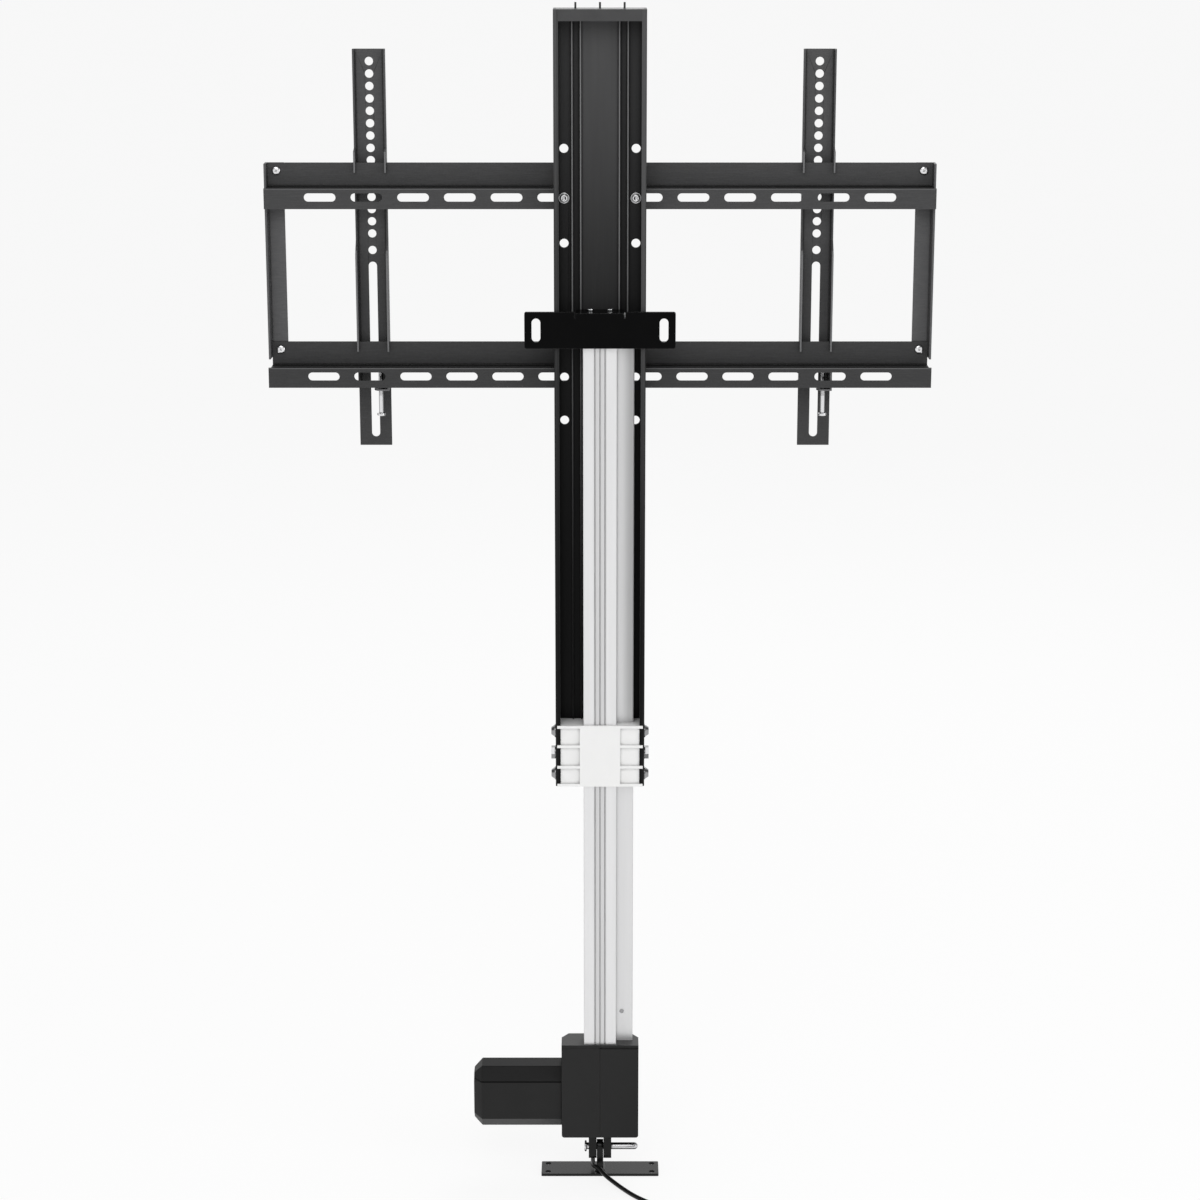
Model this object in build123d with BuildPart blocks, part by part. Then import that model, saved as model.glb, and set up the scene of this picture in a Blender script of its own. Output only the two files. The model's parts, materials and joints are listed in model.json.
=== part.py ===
from build123d import *
import math
import os

os.makedirs("parts", exist_ok=True)

# TV lift: a screw-driven carriage climbs a fixed guide profile and carries a column with the TV frame.
# Millimetres. X is to the right seen from the back of the cabinet, Y points to the TV, Z is up.
# The origin is the middle of the foot plate's underside.

# Fits
RUNNING = 0.3          # air between pieces that slide past each other
SHAFT_FIT = 0.05       # radial air of a shaft or screw in its hole
OVERRUN = 1            # how far a cut runs past the face that it opens
HEX_SIDES = 6

# Foot plate with its welded tongue, hinged on the clevis pin
FOOT_WIDTH = 135.5
FOOT_DEPTH = 33
FOOT_THICKNESS = 3
FOOT_CORNER = 1.5
FOOT_HOLE_SPACING_X = 120
FOOT_HOLE_SPACING_Y = 21
FOOT_HOLE_RADIUS = 3.25
TONGUE_THICKNESS = 7.4
TONGUE_DEPTH = 16
WELD_LEG = 2.5
WELD_TAPER = 40        # degrees

# Clevis under the gearbox, and its pin
PIN_HEIGHT = 30.5
PIN_RADIUS = 4
PIN_HEAD_RADIUS = 6.5
PIN_HEAD_THICKNESS = 3
PIN_LEFT = 15          # from the middle to the underside of the head
PIN_RIGHT = 44
PIN_CHAMFER = 1
PIN_HOLE_RADIUS = 1.4
PIN_HOLE_FROM_END = 6
CLEVIS_DROP = 18.5     # the pin's axis below the gearbox
CLEVIS_GAP = 8
EAR_THICKNESS = 9
EAR_DEPTH = 20
EAR_BELOW_PIN = 12.5
EAR_CORNER = 5
CLEVIS_PLATE_WIDTH = 44
CLEVIS_PLATE_DEPTH = 24
CLEVIS_PLATE_THICKNESS = 4

# Guide profile, an extrusion with a duct on its right side and a slot for the nut on its left
PROFILE_LENGTH = 878
PROFILE_WIDTH = 36.6
PROFILE_DEPTH = 24.5
PROFILE_MIDDLE_Y = -1.75
PROFILE_WALL = 2
PROFILE_IN_HOUSING = 38
DUCT_WIDTH = 18.9
DUCT_DEPTH = 8.9
DUCT_SETBACK = 12.1    # the duct's front face behind the profile's
DUCT_WALL = 1.6
GROOVE_WIDTH = 1.2
GROOVE_DEPTH = 0.8
GROOVE_PITCH = 5.5
NUT_SLOT_WIDTH = 10

# Gearbox housing, two moulded halves that meet at X = 0
HOUSING_WIDTH = 88
HOUSING_DEPTH = 54
HOUSING_HEIGHT = 114
HOUSING_PROUD = 4      # its front face before the profile's
HOUSING_BACK_CHAMFER = 10
HOUSING_TOP_CHAMFER = 18
HOUSING_FACET = (8, 12, 32)     # the facet on each upper back corner: its reach across, forward and down
HOUSING_CORNER = 3
HOUSING_FRONT_EDGE = 0.8
SEAM_SIZE = 0.5
SEAM_TURN = 45         # degrees
SHADOW_LINE = 0.5
SHADOW_LINE_DROP = 3.2
HOUSING_SCREW_RADIUS = 2
HOUSING_SCREW_HEAD_RADIUS = 3.8
HOUSING_SCREW_HEAD = 2.4
HOUSING_SCREW_SINK = 3.5
HOUSING_SCREW_LENGTH = 58
# where the screws cross, as shares of the housing's depth and height
HOUSING_SCREW_SHARES = ((0.17, 0.12), (0.83, 0.12), (0.83, 0.72), (0.64, 0.88))

# Screw drive inside the housing: worm, worm wheel, lead screw and bearings
SCREW_RADIUS = 7
SCREW_COLLAR_RADIUS = 5
SCREW_END_RADIUS = 4
MOTOR_RISE = 44.9      # the motor's axis above the housing's underside
WHEEL_TEETH = 21
WHEEL_MODULE = 1
WHEEL_WIDTH = 12
# the wheel's teeth, as shares of the module: depth below the pitch circle, half widths at foot and tip
TOOTH_DEPTH_SHARE = 1.25
TOOTH_FOOT_SHARE = 0.9
TOOTH_TIP_SHARE = 0.4
WORM_PITCH_RADIUS = 5
WORM_ROOT_RADIUS = 3.7
WORM_LENGTH = 24
WORM_SHAFT_RADIUS = 3
WORM_SHAFT_RIGHT = 23
WORM_SHAFT_IN_MOTOR = 10
BUSH_RADIUS = 6
BUSH_LENGTH = 8
LOWER_BEARING_RADIUS = 11
LOWER_BEARING_WIDTH = 7
LOWER_BEARING_BELOW_AXIS = 11
UPPER_BEARING_RADIUS = 13
UPPER_BEARING_WIDTH = 8
UPPER_BEARING_ABOVE_AXIS = 11
BEARING_EDGE = 0.5

# Motor and its cover, along X
COVER_LENGTH = 101
COVER_HEIGHT = 73.5
COVER_DEPTH = 52
COVER_SETBACK = 3      # its front face behind the housing's
COVER_CHAMFER = 14
COVER_END_CHAMFER = 9.3
COVER_WALL = 2.5
CAN_RADIUS = 20
CAN_LENGTH = 84
CAN_EDGE = 2

# Block in the profile's top, and the wall bracket screwed to it
END_BLOCK_HEIGHT = 18
SCREW_TOP_JOURNAL = 14
BRACKET_WIDTH = 162
BRACKET_HEIGHT = 39.6
BRACKET_THICKNESS = 3
BRACKET_CORNER = 2.2
BRACKET_ABOVE_TAB = 1.6
BRACKET_SLOT_WIDTH = 9.4
BRACKET_SLOT_LENGTH = 25.5
BRACKET_SLOT_SPACING = 137
TAB_WIDTH = 51.6
TAB_REACH = 25.5       # from the plate's back face
TAB_BEND = 2.2         # inside radius
TAB_BEND_SHARE = 0.9   # of the room for it that the inside fillet takes
TAB_RELIEF = 1.5
BRACKET_SCREW_RADIUS = 2
BRACKET_SCREW_HEAD_RADIUS = 3.6
BRACKET_SCREW_HEAD = 2.2
BRACKET_SCREW_SPACING = 21.4
BRACKET_SCREW_LENGTH = 12

# Limit switches in the duct
SWITCH_WIDTH = 12
SWITCH_PLACE_SHARE = 0.34     # of the duct's width, from the profile's side to the switch's middle
SWITCH_DEPTH = 5
SWITCH_HEIGHT = 20
SWITCH_SCREW_RADIUS = 1.4
SWITCH_SCREW_HEAD_RADIUS = 2.6
SWITCH_SCREW_LENGTH = 5
LOWER_SWITCH_RISE = 35.8      # above the housing
UPPER_SWITCH_DROP = 15      # below the profile's top

# Travel
LIFT_AT_REST = 300     # how far the carriage stands above its lowest place
BUFFER = 11            # left between the housing and the carriage at its lowest place

# Column channel
COLUMN_LENGTH = 850.7
COLUMN_WIDTH = 98.5
COLUMN_DEPTH = 32
COLUMN_WALL = 3
COLUMN_BEHIND = 2      # air between the profile and the column's web
COLUMN_CORNER = 2
LIP_WIDTH = 2.4
LIP_THICKNESS = 3
FIN_THICKNESS = 1.5
FIN_HEIGHT = 4
FIN_PLACES = (20.7, 29.8)
COLUMN_HOLE_RADIUS = 4.8
COLUMN_HOLE_SPACING = 77
TOP_RAIL_DROP = 199.5  # hole rows below the column's top
BOTTOM_RAIL_DROP = 393.5
SPARE_HOLE_DROPS = (147, 248, 441)

# Cap in the column's top, with its three studs
CAP_HEIGHT = 12.3
CAP_STUD_RADIUS = 1.1
CAP_STUD_SPACING = 25.8
CAP_STUD_ABOVE = 6.5
CAP_STUD_BELOW = 5

# Nylon carriage block
CARRIAGE_HEIGHT = 70.5
CARRIAGE_PROUD = 1.5   # its front face before the column's
PAD_WIDTH = 45
POCKET_DEPTH = 3
RIB_WIDTH = 95
RIB_THICKNESS = 3
RIB_RISES = (0, 21, 45, 67.5)
CARRIAGE_BOLT_RISES = (10.5, 35, 60)
CARRIAGE_BOLT_RADIUS = 3
CARRIAGE_BOLT_HEAD_RADIUS = 7.5
CARRIAGE_BOLT_HEAD = 5
CARRIAGE_BOLT_WASHER = 1.2
CARRIAGE_BOLT_DOME_SHARE = 0.9
CARRIAGE_BOLT_TAPER = 35    # degrees
CARRIAGE_BOLT_HEX = 13
CARRIAGE_BOLT_LENGTH = 10
BOLT_SOCKET_DEPTH = 2
BOLT_SOCKET_WIDTH = 4

# Drive nut, in the profile, with a neck through the slot into the carriage block
NUT_HEIGHT = 40
NECK_HEIGHT = 30
NECK_REACH = 11

# Rails of the TV frame, folded from sheet, with a row of slots
RAIL_LENGTH = 720
RAIL_HEIGHT = 47.5
RAIL_SHEET = 2
RAIL_LOWER_FLANGE = 22
RAIL_LEDGE = 20
RAIL_BEND = 0.6
RAIL_SLOT_COUNT = 13
RAIL_SLOT_PITCH = 50
RAIL_SLOT_LENGTH = 34
RAIL_SLOT_WIDTH = 9
RAIL_SLOT_RISE = 12.4

# Side bars
BAR_WIDTH = 20
BAR_SHEET = 2
BAR_FLANGE = 17
BAR_BELOW = 17.5       # its lower end below the bottom rail's top edge
BAR_BEND = 0.6

# Screws and nuts of the frame
FRAME_SCREW_RADIUS = 2.5
FRAME_SCREW_HEAD_RADIUS = 4.65
FRAME_SCREW_HEAD = 2.8
FRAME_SCREW_TAPER = 20      # degrees
FRAME_SCREW_FROM_END = 12
FRAME_SCREW_DROP = 8.5
FRAME_NUT_WIDTH = 8
FRAME_NUT_THICKNESS = 4
CROSS_WIDTH = 1
CROSS_LENGTH = 4.4
CROSS_DEPTH = 1.4
COLUMN_BOLT_RADIUS = 3
COLUMN_BOLT_HEAD_RADIUS = 6
COLUMN_BOLT_HEAD = 3.3
COLUMN_BOLT_TAPER = 25      # degrees
COLUMN_NUT_WIDTH = 10
COLUMN_NUT_THICKNESS = 5

# TV arms, hooked over both rails
ARM_PLACES = {"left": -247, "right": 235}
ARM_LENGTH = 431
ARM_WIDTH = 35
ARM_SHEET = 2
ARM_ABOVE_RAIL = 119.6     # its top above the top rail's upper edge
ARM_BACK_GAP = 10.5        # the web's front face behind the rails
ARM_FLANGE = 8
HOOK_THICKNESS = 5
HOOK_DROP = 10.5
HOOK_RISE = 12
HOOK_TAPER = 3
ARM_WIDENS_ABOVE = 95      # the deep flange starts so far above the bottom rail
ARM_WIDENS_OVER = 15
ARM_HOLE_RADIUS = 4.5
ARM_HOLE_COUNT = 15
ARM_HOLE_PITCH = 13.16
ARM_FIRST_HOLE_DROP = 13.1
ARM_LAST_HOLE_STEP = 18
ARM_SLOT_LENGTH = 193.5
ARM_SLOT_RISE = 9.5        # the slot's lower end above the arm's
ARM_LEG_DEPTH = 30
LOCK_TAB_DROP = 22.3       # the tab's top face below the bottom rail's ledge
LOCK_TAB_WIDTH = 14
LOCK_SCREW_X = 8
LOCK_SCREW_BEHIND = 11.5   # its axis behind the rail's front face
LOCK_SCREW_RADIUS = 2.5
LOCK_SCREW_LENGTH = 49.5
LOCK_SCREW_HEAD_RADIUS = 4.6
LOCK_SCREW_HEAD = 3

# Motor lead
LEAD_RADIUS = 2.5
RUN_SHARE = 0.45           # of the shorter run, that a corner's arc takes
GLAND_RADIUS = 4.5
GLAND_BELOW = 5
GLAND_IN = 4
GLAND_FLANGE = 1.5
COIL_OUTER_RADIUS = 36
COIL_PITCH = 6.6
COIL_LAYER = 5.7
COIL_HALF_TURNS_IN = 5
COIL_HALF_TURNS_OUT = 6
COIL_SAMPLES = 600         # points on the coil at which its gap to itself is measured
COIL_SAME_PLACE = 15       # points nearer than this along the coil count as one place
CONNECTOR_RADIUS = 6
CONNECTOR_LENGTH = 24
CONNECTOR_NECK = 14
CONNECTOR_NECK_RADIUS = 3.6
# The lead's route, chosen by hand: out of the gland, under the left ear, over the foot plate, on the floor
LEAD_ROUTE = [
    (-8, 15.5, 44),
    (-8, 15.5, 30),
    (-8.2, 13.2, 15.5),
    (-8.2, 4, 10.6),
    (-8.3, -11.3, 11),
    (-1.2, -18.6, 11.4),
    (5, -28.2, 7),
    (23, -50, 2.5),
    (41, -76, 2.5),
    (65, -98, 2.5),
    (89, -118, 2.5),
    (100, -134, 2.5),
    (100, -145, 2.5),
]
TAIL_ROUTE = [
    (103.3, -155, 8.2),
    (103.3, -167, 8.2),
    (99, -183, 6.6),
    (87, -196, 6),
    (71, -201, 6),
]

# Places worked out from the sizes
profile_front = PROFILE_MIDDLE_Y - PROFILE_DEPTH / 2
profile_back = PROFILE_MIDDLE_Y + PROFILE_DEPTH / 2
profile_right = PROFILE_WIDTH / 2
duct_front = profile_front + DUCT_SETBACK
duct_back = duct_front + DUCT_DEPTH
duct_right = profile_right + DUCT_WIDTH
housing_bottom = PIN_HEIGHT + CLEVIS_DROP
housing_top = housing_bottom + HOUSING_HEIGHT
housing_front = profile_front - HOUSING_PROUD
housing_back = housing_front + HOUSING_DEPTH
housing_right = HOUSING_WIDTH / 2
profile_bottom = housing_top - PROFILE_IN_HOUSING
profile_top = profile_bottom + PROFILE_LENGTH
motor_z = housing_bottom + MOTOR_RISE
wheel_pitch_radius = WHEEL_TEETH * WHEEL_MODULE / 2
motor_y = PROFILE_MIDDLE_Y + wheel_pitch_radius + WORM_PITCH_RADIUS
lower_bearing_z = motor_z - LOWER_BEARING_BELOW_AXIS - LOWER_BEARING_WIDTH
upper_bearing_z = motor_z + UPPER_BEARING_ABOVE_AXIS
screw_shoulder_z = upper_bearing_z + UPPER_BEARING_WIDTH + RUNNING
end_block_z = profile_top - END_BLOCK_HEIGHT
carriage_bottom = housing_top + BUFFER + LIFT_AT_REST
column_top = carriage_bottom + COLUMN_LENGTH
column_inside = COLUMN_WIDTH / 2 - COLUMN_WALL
web_front = profile_back + COLUMN_BEHIND
column_back = web_front + COLUMN_WALL
column_front = column_back - COLUMN_DEPTH
column_middle_y = (column_front + column_back) / 2
lip_inside = column_inside - LIP_WIDTH
carriage_front = column_front - CARRIAGE_PROUD
rail_front = column_back
rail_upper_front = rail_front + RAIL_LEDGE
rail_upper_back = rail_upper_front + RAIL_SHEET
top_row = column_top - TOP_RAIL_DROP
bottom_row = column_top - BOTTOM_RAIL_DROP
frame_top = top_row - RAIL_SLOT_RISE + RAIL_HEIGHT
bottom_rail_top = bottom_row - RAIL_SLOT_RISE + RAIL_HEIGHT
ledge_under = bottom_rail_top - RAIL_HEIGHT + RAIL_LOWER_FLANGE - RAIL_SHEET
bar_back = rail_upper_back + BAR_SHEET
frame_screw_x = RAIL_LENGTH / 2 - FRAME_SCREW_FROM_END


def middle(span):
    """The middle of a span given as (low, high)."""
    return (span[0] + span[1]) / 2


def length(span):
    """The length of a span given as (low, high)."""
    return span[1] - span[0]


def patch(across, up, mode=Mode.ADD):
    """A rectangle in the open sketch, given by its spans."""
    with Locations((middle(across), middle(up))):
        return Rectangle(length(across), length(up), mode=mode)


def block(x, y, z, mode=Mode.ADD):
    """A box in the open part, given by its spans."""
    with Locations((middle(x), middle(y), middle(z))):
        return Box(length(x), length(y), length(z), mode=mode)


def seen_from_front(y):
    """A plane at depth y, X to the right and Z up. Its normal points to the viewer."""
    return Plane.XZ.offset(-y)


def seen_from_right(x):
    """A plane at x, Y to the right and Z up. Its normal points to +X."""
    return Plane.YZ.offset(x)


def rod(plane, radius, amount, mode=Mode.ADD):
    """A round bar in the open part, from the middle of a plane along its normal."""
    start = Align.MIN if amount > 0 else Align.MAX
    with Locations(plane):
        return Cylinder(radius, abs(amount), align=(Align.CENTER, Align.CENTER, start), mode=mode)


def along_x(x, y, z):
    """A plane across X at a point, for round pieces that run along X."""
    return Plane(origin=(x, y, z), x_dir=(0, 1, 0), z_dir=(1, 0, 0))


def along_y(x, y, z):
    """A plane across Y at a point, for round pieces that run to the viewer."""
    return Plane(origin=(x, y, z), x_dir=(1, 0, 0), z_dir=(0, -1, 0))


def cross_recess(plane):
    """A screwdriver cross in the open part, cut into a head from its outer face at the plane."""
    inward = (Align.CENTER, Align.CENTER, Align.MAX)
    with Locations(plane):
        Box(CROSS_LENGTH, CROSS_WIDTH, CROSS_DEPTH, align=inward, mode=Mode.SUBTRACT)
        Box(CROSS_WIDTH, CROSS_LENGTH, CROSS_DEPTH, align=inward, mode=Mode.SUBTRACT)


# Foot plate
with BuildPart() as foot_plate:
    with BuildSketch(Plane.XY):
        RectangleRounded(FOOT_WIDTH, FOOT_DEPTH, FOOT_CORNER)
        with GridLocations(FOOT_HOLE_SPACING_X, FOOT_HOLE_SPACING_Y, 2, 2):
            Circle(FOOT_HOLE_RADIUS, mode=Mode.SUBTRACT)
    extrude(amount=FOOT_THICKNESS)
    with BuildSketch(Plane.XY.offset(FOOT_THICKNESS)):
        Rectangle(TONGUE_THICKNESS + 2 * WELD_LEG, TONGUE_DEPTH + 2 * WELD_LEG)
    extrude(amount=WELD_LEG, taper=WELD_TAPER)
    with BuildSketch(seen_from_right(-TONGUE_THICKNESS / 2)):
        patch((-TONGUE_DEPTH / 2, TONGUE_DEPTH / 2), (FOOT_THICKNESS, PIN_HEIGHT))
        with Locations((0, PIN_HEIGHT)):
            Circle(TONGUE_DEPTH / 2)
            Circle(PIN_RADIUS + SHAFT_FIT, mode=Mode.SUBTRACT)
    extrude(amount=TONGUE_THICKNESS)
foot_plate.part.label = "foot_plate"
export_step(foot_plate.part, "parts/foot_plate.step")

# Clevis bracket: a plate let into the housing's underside, with two ears
with BuildPart() as clevis_bracket:
    block(
        (-CLEVIS_PLATE_WIDTH / 2, CLEVIS_PLATE_WIDTH / 2),
        (-CLEVIS_PLATE_DEPTH / 2, CLEVIS_PLATE_DEPTH / 2),
        (housing_bottom, housing_bottom + CLEVIS_PLATE_THICKNESS),
    )
    for ear_x in (-CLEVIS_GAP / 2 - EAR_THICKNESS, CLEVIS_GAP / 2):
        with BuildSketch(seen_from_right(ear_x)) as ear:
            patch((-EAR_DEPTH / 2, EAR_DEPTH / 2), (PIN_HEIGHT - EAR_BELOW_PIN, housing_bottom))
            fillet(ear.vertices().group_by(Axis.Z)[0], radius=EAR_CORNER)
            with Locations((0, PIN_HEIGHT)):
                Circle(PIN_RADIUS + SHAFT_FIT, mode=Mode.SUBTRACT)
        extrude(amount=EAR_THICKNESS)
clevis_bracket.part.label = "clevis_bracket"
export_step(clevis_bracket.part, "parts/clevis_bracket.step")

# Clevis pin, with a head on the left and a cross hole near its free end
with BuildPart() as clevis_pin:
    rod(along_x(-PIN_LEFT, 0, PIN_HEIGHT), PIN_RADIUS, PIN_LEFT + PIN_RIGHT)
    chamfer(clevis_pin.faces().sort_by(Axis.X)[-1].edges(), length=PIN_CHAMFER)
    rod(along_x(-PIN_LEFT - PIN_HEAD_THICKNESS, 0, PIN_HEIGHT), PIN_HEAD_RADIUS, PIN_HEAD_THICKNESS)
    chamfer(clevis_pin.faces().sort_by(Axis.X)[0].edges(), length=PIN_CHAMFER)
    hole_plane = along_y(PIN_RIGHT - PIN_HOLE_FROM_END, PIN_RADIUS + OVERRUN, PIN_HEIGHT)
    rod(hole_plane, PIN_HOLE_RADIUS, 2 * (PIN_RADIUS + OVERRUN), mode=Mode.SUBTRACT)
clevis_pin.part.label = "clevis_pin"
export_step(clevis_pin.part, "parts/clevis_pin.step")


def profile_outline(air=0):
    """The guide profile's outer shape in the open sketch, with air all round it."""
    patch(
        (-profile_right - air, profile_right + air),
        (profile_front - air, profile_back + air),
    )
    patch((0, duct_right + air), (duct_front - air, duct_back + air))


# Gearbox housing: the outside, then the seats of what it holds, then one half
housing_screw_places = [
    (housing_front + depth_share * HOUSING_DEPTH, housing_bottom + height_share * HOUSING_HEIGHT)
    for depth_share, height_share in HOUSING_SCREW_SHARES
]
gland_x, gland_y = LEAD_ROUTE[0][0], LEAD_ROUTE[0][1]
for half_name, kept in (("left", Keep.BOTTOM), ("right", Keep.TOP)):
    with BuildPart() as housing_half:
        with BuildSketch(Plane.XY.offset(housing_bottom)) as housing_plan:
            patch((-housing_right, housing_right), (housing_front, housing_back))
            back_corners = housing_plan.vertices().group_by(Axis.Y)[-1]
            chamfer(back_corners, length=HOUSING_BACK_CHAMFER)
        extrude(amount=HOUSING_HEIGHT)
        top_back = housing_half.edges().filter_by(Axis.X).group_by(Axis.Z)[-1].sort_by(Axis.Y)[-1]
        chamfer(top_back, length=HOUSING_TOP_CHAMFER)
        low_edges = housing_half.faces().sort_by(Axis.Z)[0].edges().filter_by(Axis.Y)
        fillet(low_edges, radius=HOUSING_CORNER)
        top_front = housing_half.edges().filter_by(Axis.X).group_by(Axis.Z)[-1].sort_by(Axis.Y)[0]
        fillet(top_front, radius=HOUSING_FRONT_EDGE)
        # the facets on the upper back corners
        across, forward, down = HOUSING_FACET
        facet_y = housing_back - HOUSING_TOP_CHAMFER
        for side in (-1, 1):
            on_side = Vector(side * housing_right, facet_y - forward, housing_top)
            on_back = Vector(side * (housing_right - across), facet_y, housing_top)
            below = Vector(side * housing_right, housing_back - HOUSING_BACK_CHAMFER, housing_top - down)
            outward = (on_back - on_side).cross(below - on_side)
            outward = outward if outward.Z > 0 else -outward
            with Locations(Plane(origin=on_side, x_dir=on_back - on_side, z_dir=outward)):
                above = (Align.CENTER, Align.CENTER, Align.MIN)
                Box(HOUSING_HEIGHT, HOUSING_HEIGHT, HOUSING_DEPTH, align=above, mode=Mode.SUBTRACT)
        # the profile's socket
        with BuildSketch(Plane.XY.offset(profile_bottom)):
            profile_outline()
        extrude(amount=PROFILE_IN_HOUSING + OVERRUN, mode=Mode.SUBTRACT)
        # the chamber of the worm wheel and the upper bearing, and the lower bearing's seat
        chamber_z = lower_bearing_z + LOWER_BEARING_WIDTH
        chamber = Plane.XY.offset(chamber_z).move(Location((0, PROFILE_MIDDLE_Y, 0)))
        rod(chamber, UPPER_BEARING_RADIUS, profile_bottom - chamber_z, mode=Mode.SUBTRACT)
        seat = Plane.XY.offset(lower_bearing_z).move(Location((0, PROFILE_MIDDLE_Y, 0)))
        rod(seat, LOWER_BEARING_RADIUS, LOWER_BEARING_WIDTH, mode=Mode.SUBTRACT)
        # the worm's tunnel, open on the motor's side
        tunnel = along_x(-housing_right - OVERRUN, motor_y, motor_z)
        tunnel_length = housing_right + OVERRUN + WORM_SHAFT_RIGHT
        rod(tunnel, BUSH_RADIUS, tunnel_length, mode=Mode.SUBTRACT)
        # the clevis plate's recess and the gland's hole
        block(
            (-CLEVIS_PLATE_WIDTH / 2, CLEVIS_PLATE_WIDTH / 2),
            (-CLEVIS_PLATE_DEPTH / 2, CLEVIS_PLATE_DEPTH / 2),
            (housing_bottom, housing_bottom + CLEVIS_PLATE_THICKNESS),
            mode=Mode.SUBTRACT,
        )
        gland_hole = Plane(origin=(gland_x, gland_y, housing_bottom))
        rod(gland_hole, GLAND_RADIUS - GLAND_FLANGE, GLAND_IN, mode=Mode.SUBTRACT)
        # screw holes with sunk heads on the right
        for screw_y, screw_z in housing_screw_places:
            head = along_x(housing_right - HOUSING_SCREW_SINK, screw_y, screw_z)
            rod(head, HOUSING_SCREW_HEAD_RADIUS, HOUSING_SCREW_SINK + OVERRUN, mode=Mode.SUBTRACT)
            rod(head, HOUSING_SCREW_RADIUS + SHAFT_FIT, -HOUSING_SCREW_LENGTH, mode=Mode.SUBTRACT)
        # the seam between the halves, and the shadow line under the right half's top edge
        with BuildSketch(Plane.XY.offset(housing_bottom)):
            with Locations(Location((0, housing_front, 0), (0, 0, SEAM_TURN))):
                Rectangle(SEAM_SIZE, SEAM_SIZE)
        extrude(amount=HOUSING_HEIGHT, mode=Mode.SUBTRACT)
        line_z = housing_top - SHADOW_LINE_DROP
        block(
            (0, housing_right + OVERRUN),
            (housing_front - OVERRUN, housing_front + SHADOW_LINE),
            (line_z, line_z + SHADOW_LINE),
            mode=Mode.SUBTRACT,
        )
        split(bisect_by=Plane.YZ, keep=kept)
    housing_half.part.label = f"gearbox_housing_{half_name}"
    export_step(housing_half.part, f"parts/gearbox_housing_{half_name}.step")

# Screws that hold the two halves together
with BuildPart() as housing_screws:
    for screw_y, screw_z in housing_screw_places:
        under_head = along_x(housing_right - HOUSING_SCREW_SINK, screw_y, screw_z)
        rod(under_head, HOUSING_SCREW_HEAD_RADIUS - SHAFT_FIT, HOUSING_SCREW_HEAD)
        rod(under_head, HOUSING_SCREW_RADIUS, -HOUSING_SCREW_LENGTH)
        cross_recess(under_head.offset(HOUSING_SCREW_HEAD))
housing_screws.part.label = "housing_screws"
export_step(housing_screws.part, "parts/housing_screws.step")

# Motor cover: an eight-sided moulded shell, open against the housing
with BuildPart() as motor_cover:
    cover_front = housing_front + COVER_SETBACK
    with BuildSketch(seen_from_right(-housing_right - COVER_LENGTH)) as cover_section:
        patch(
            (cover_front, cover_front + COVER_DEPTH),
            (motor_z - COVER_HEIGHT / 2, motor_z + COVER_HEIGHT / 2),
        )
        chamfer(cover_section.vertices(), length=COVER_CHAMFER)
    extrude(amount=COVER_LENGTH)
    chamfer(motor_cover.faces().sort_by(Axis.X)[0].edges(), length=COVER_END_CHAMFER)
    offset(amount=-COVER_WALL, openings=motor_cover.faces().sort_by(Axis.X)[-1])
motor_cover.part.label = "motor_cover"
export_step(motor_cover.part, "parts/motor_cover.step")

# Motor, a closed can on the housing's left face
with BuildPart() as motor_can:
    rod(along_x(-housing_right - CAN_LENGTH, motor_y, motor_z), CAN_RADIUS, CAN_LENGTH)
    fillet(motor_can.faces().sort_by(Axis.X)[0].edges(), radius=CAN_EDGE)
    shaft_hole = along_x(-housing_right, motor_y, motor_z)
    hole_depth = WORM_SHAFT_IN_MOTOR + RUNNING
    rod(shaft_hole, WORM_SHAFT_RADIUS + SHAFT_FIT, -hole_depth, mode=Mode.SUBTRACT)
motor_can.part.label = "motor_can"
export_step(motor_can.part, "parts/motor_can.step")

# Worm shaft: the worm is plain, at its root size
with BuildPart() as worm_shaft:
    shaft_left = -housing_right - WORM_SHAFT_IN_MOTOR
    rod(along_x(shaft_left, motor_y, motor_z), WORM_SHAFT_RADIUS, WORM_SHAFT_RIGHT - shaft_left)
    rod(along_x(-WORM_LENGTH / 2, motor_y, motor_z), WORM_ROOT_RADIUS, WORM_LENGTH)
worm_shaft.part.label = "worm_shaft"
export_step(worm_shaft.part, "parts/worm_shaft.step")

# Bush at the worm shaft's far end
with BuildPart() as worm_bush:
    bush_start = along_x(WORM_SHAFT_RIGHT - BUSH_LENGTH, motor_y, motor_z)
    rod(bush_start, BUSH_RADIUS, BUSH_LENGTH)
    rod(bush_start, WORM_SHAFT_RADIUS + SHAFT_FIT, BUSH_LENGTH, mode=Mode.SUBTRACT)
worm_bush.part.label = "worm_bush"
export_step(worm_bush.part, "parts/worm_bush.step")


def on_screw_axis(z):
    """A level plane at height z with its middle on the lead screw's axis."""
    return Plane(origin=(0, PROFILE_MIDDLE_Y, z))


# Lead screw, from the lower bearing to the block in the profile's top
with BuildPart() as lead_screw:
    lower_step = lower_bearing_z + LOWER_BEARING_WIDTH + RUNNING
    top_step = end_block_z - RUNNING
    rod(on_screw_axis(lower_bearing_z), SCREW_END_RADIUS, lower_step - lower_bearing_z)
    rod(on_screw_axis(lower_step), SCREW_COLLAR_RADIUS, screw_shoulder_z - lower_step)
    rod(on_screw_axis(screw_shoulder_z), SCREW_RADIUS, top_step - screw_shoulder_z)
    rod(on_screw_axis(top_step), SCREW_COLLAR_RADIUS, SCREW_TOP_JOURNAL)
lead_screw.part.label = "lead_screw"
export_step(lead_screw.part, "parts/lead_screw.step")

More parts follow.
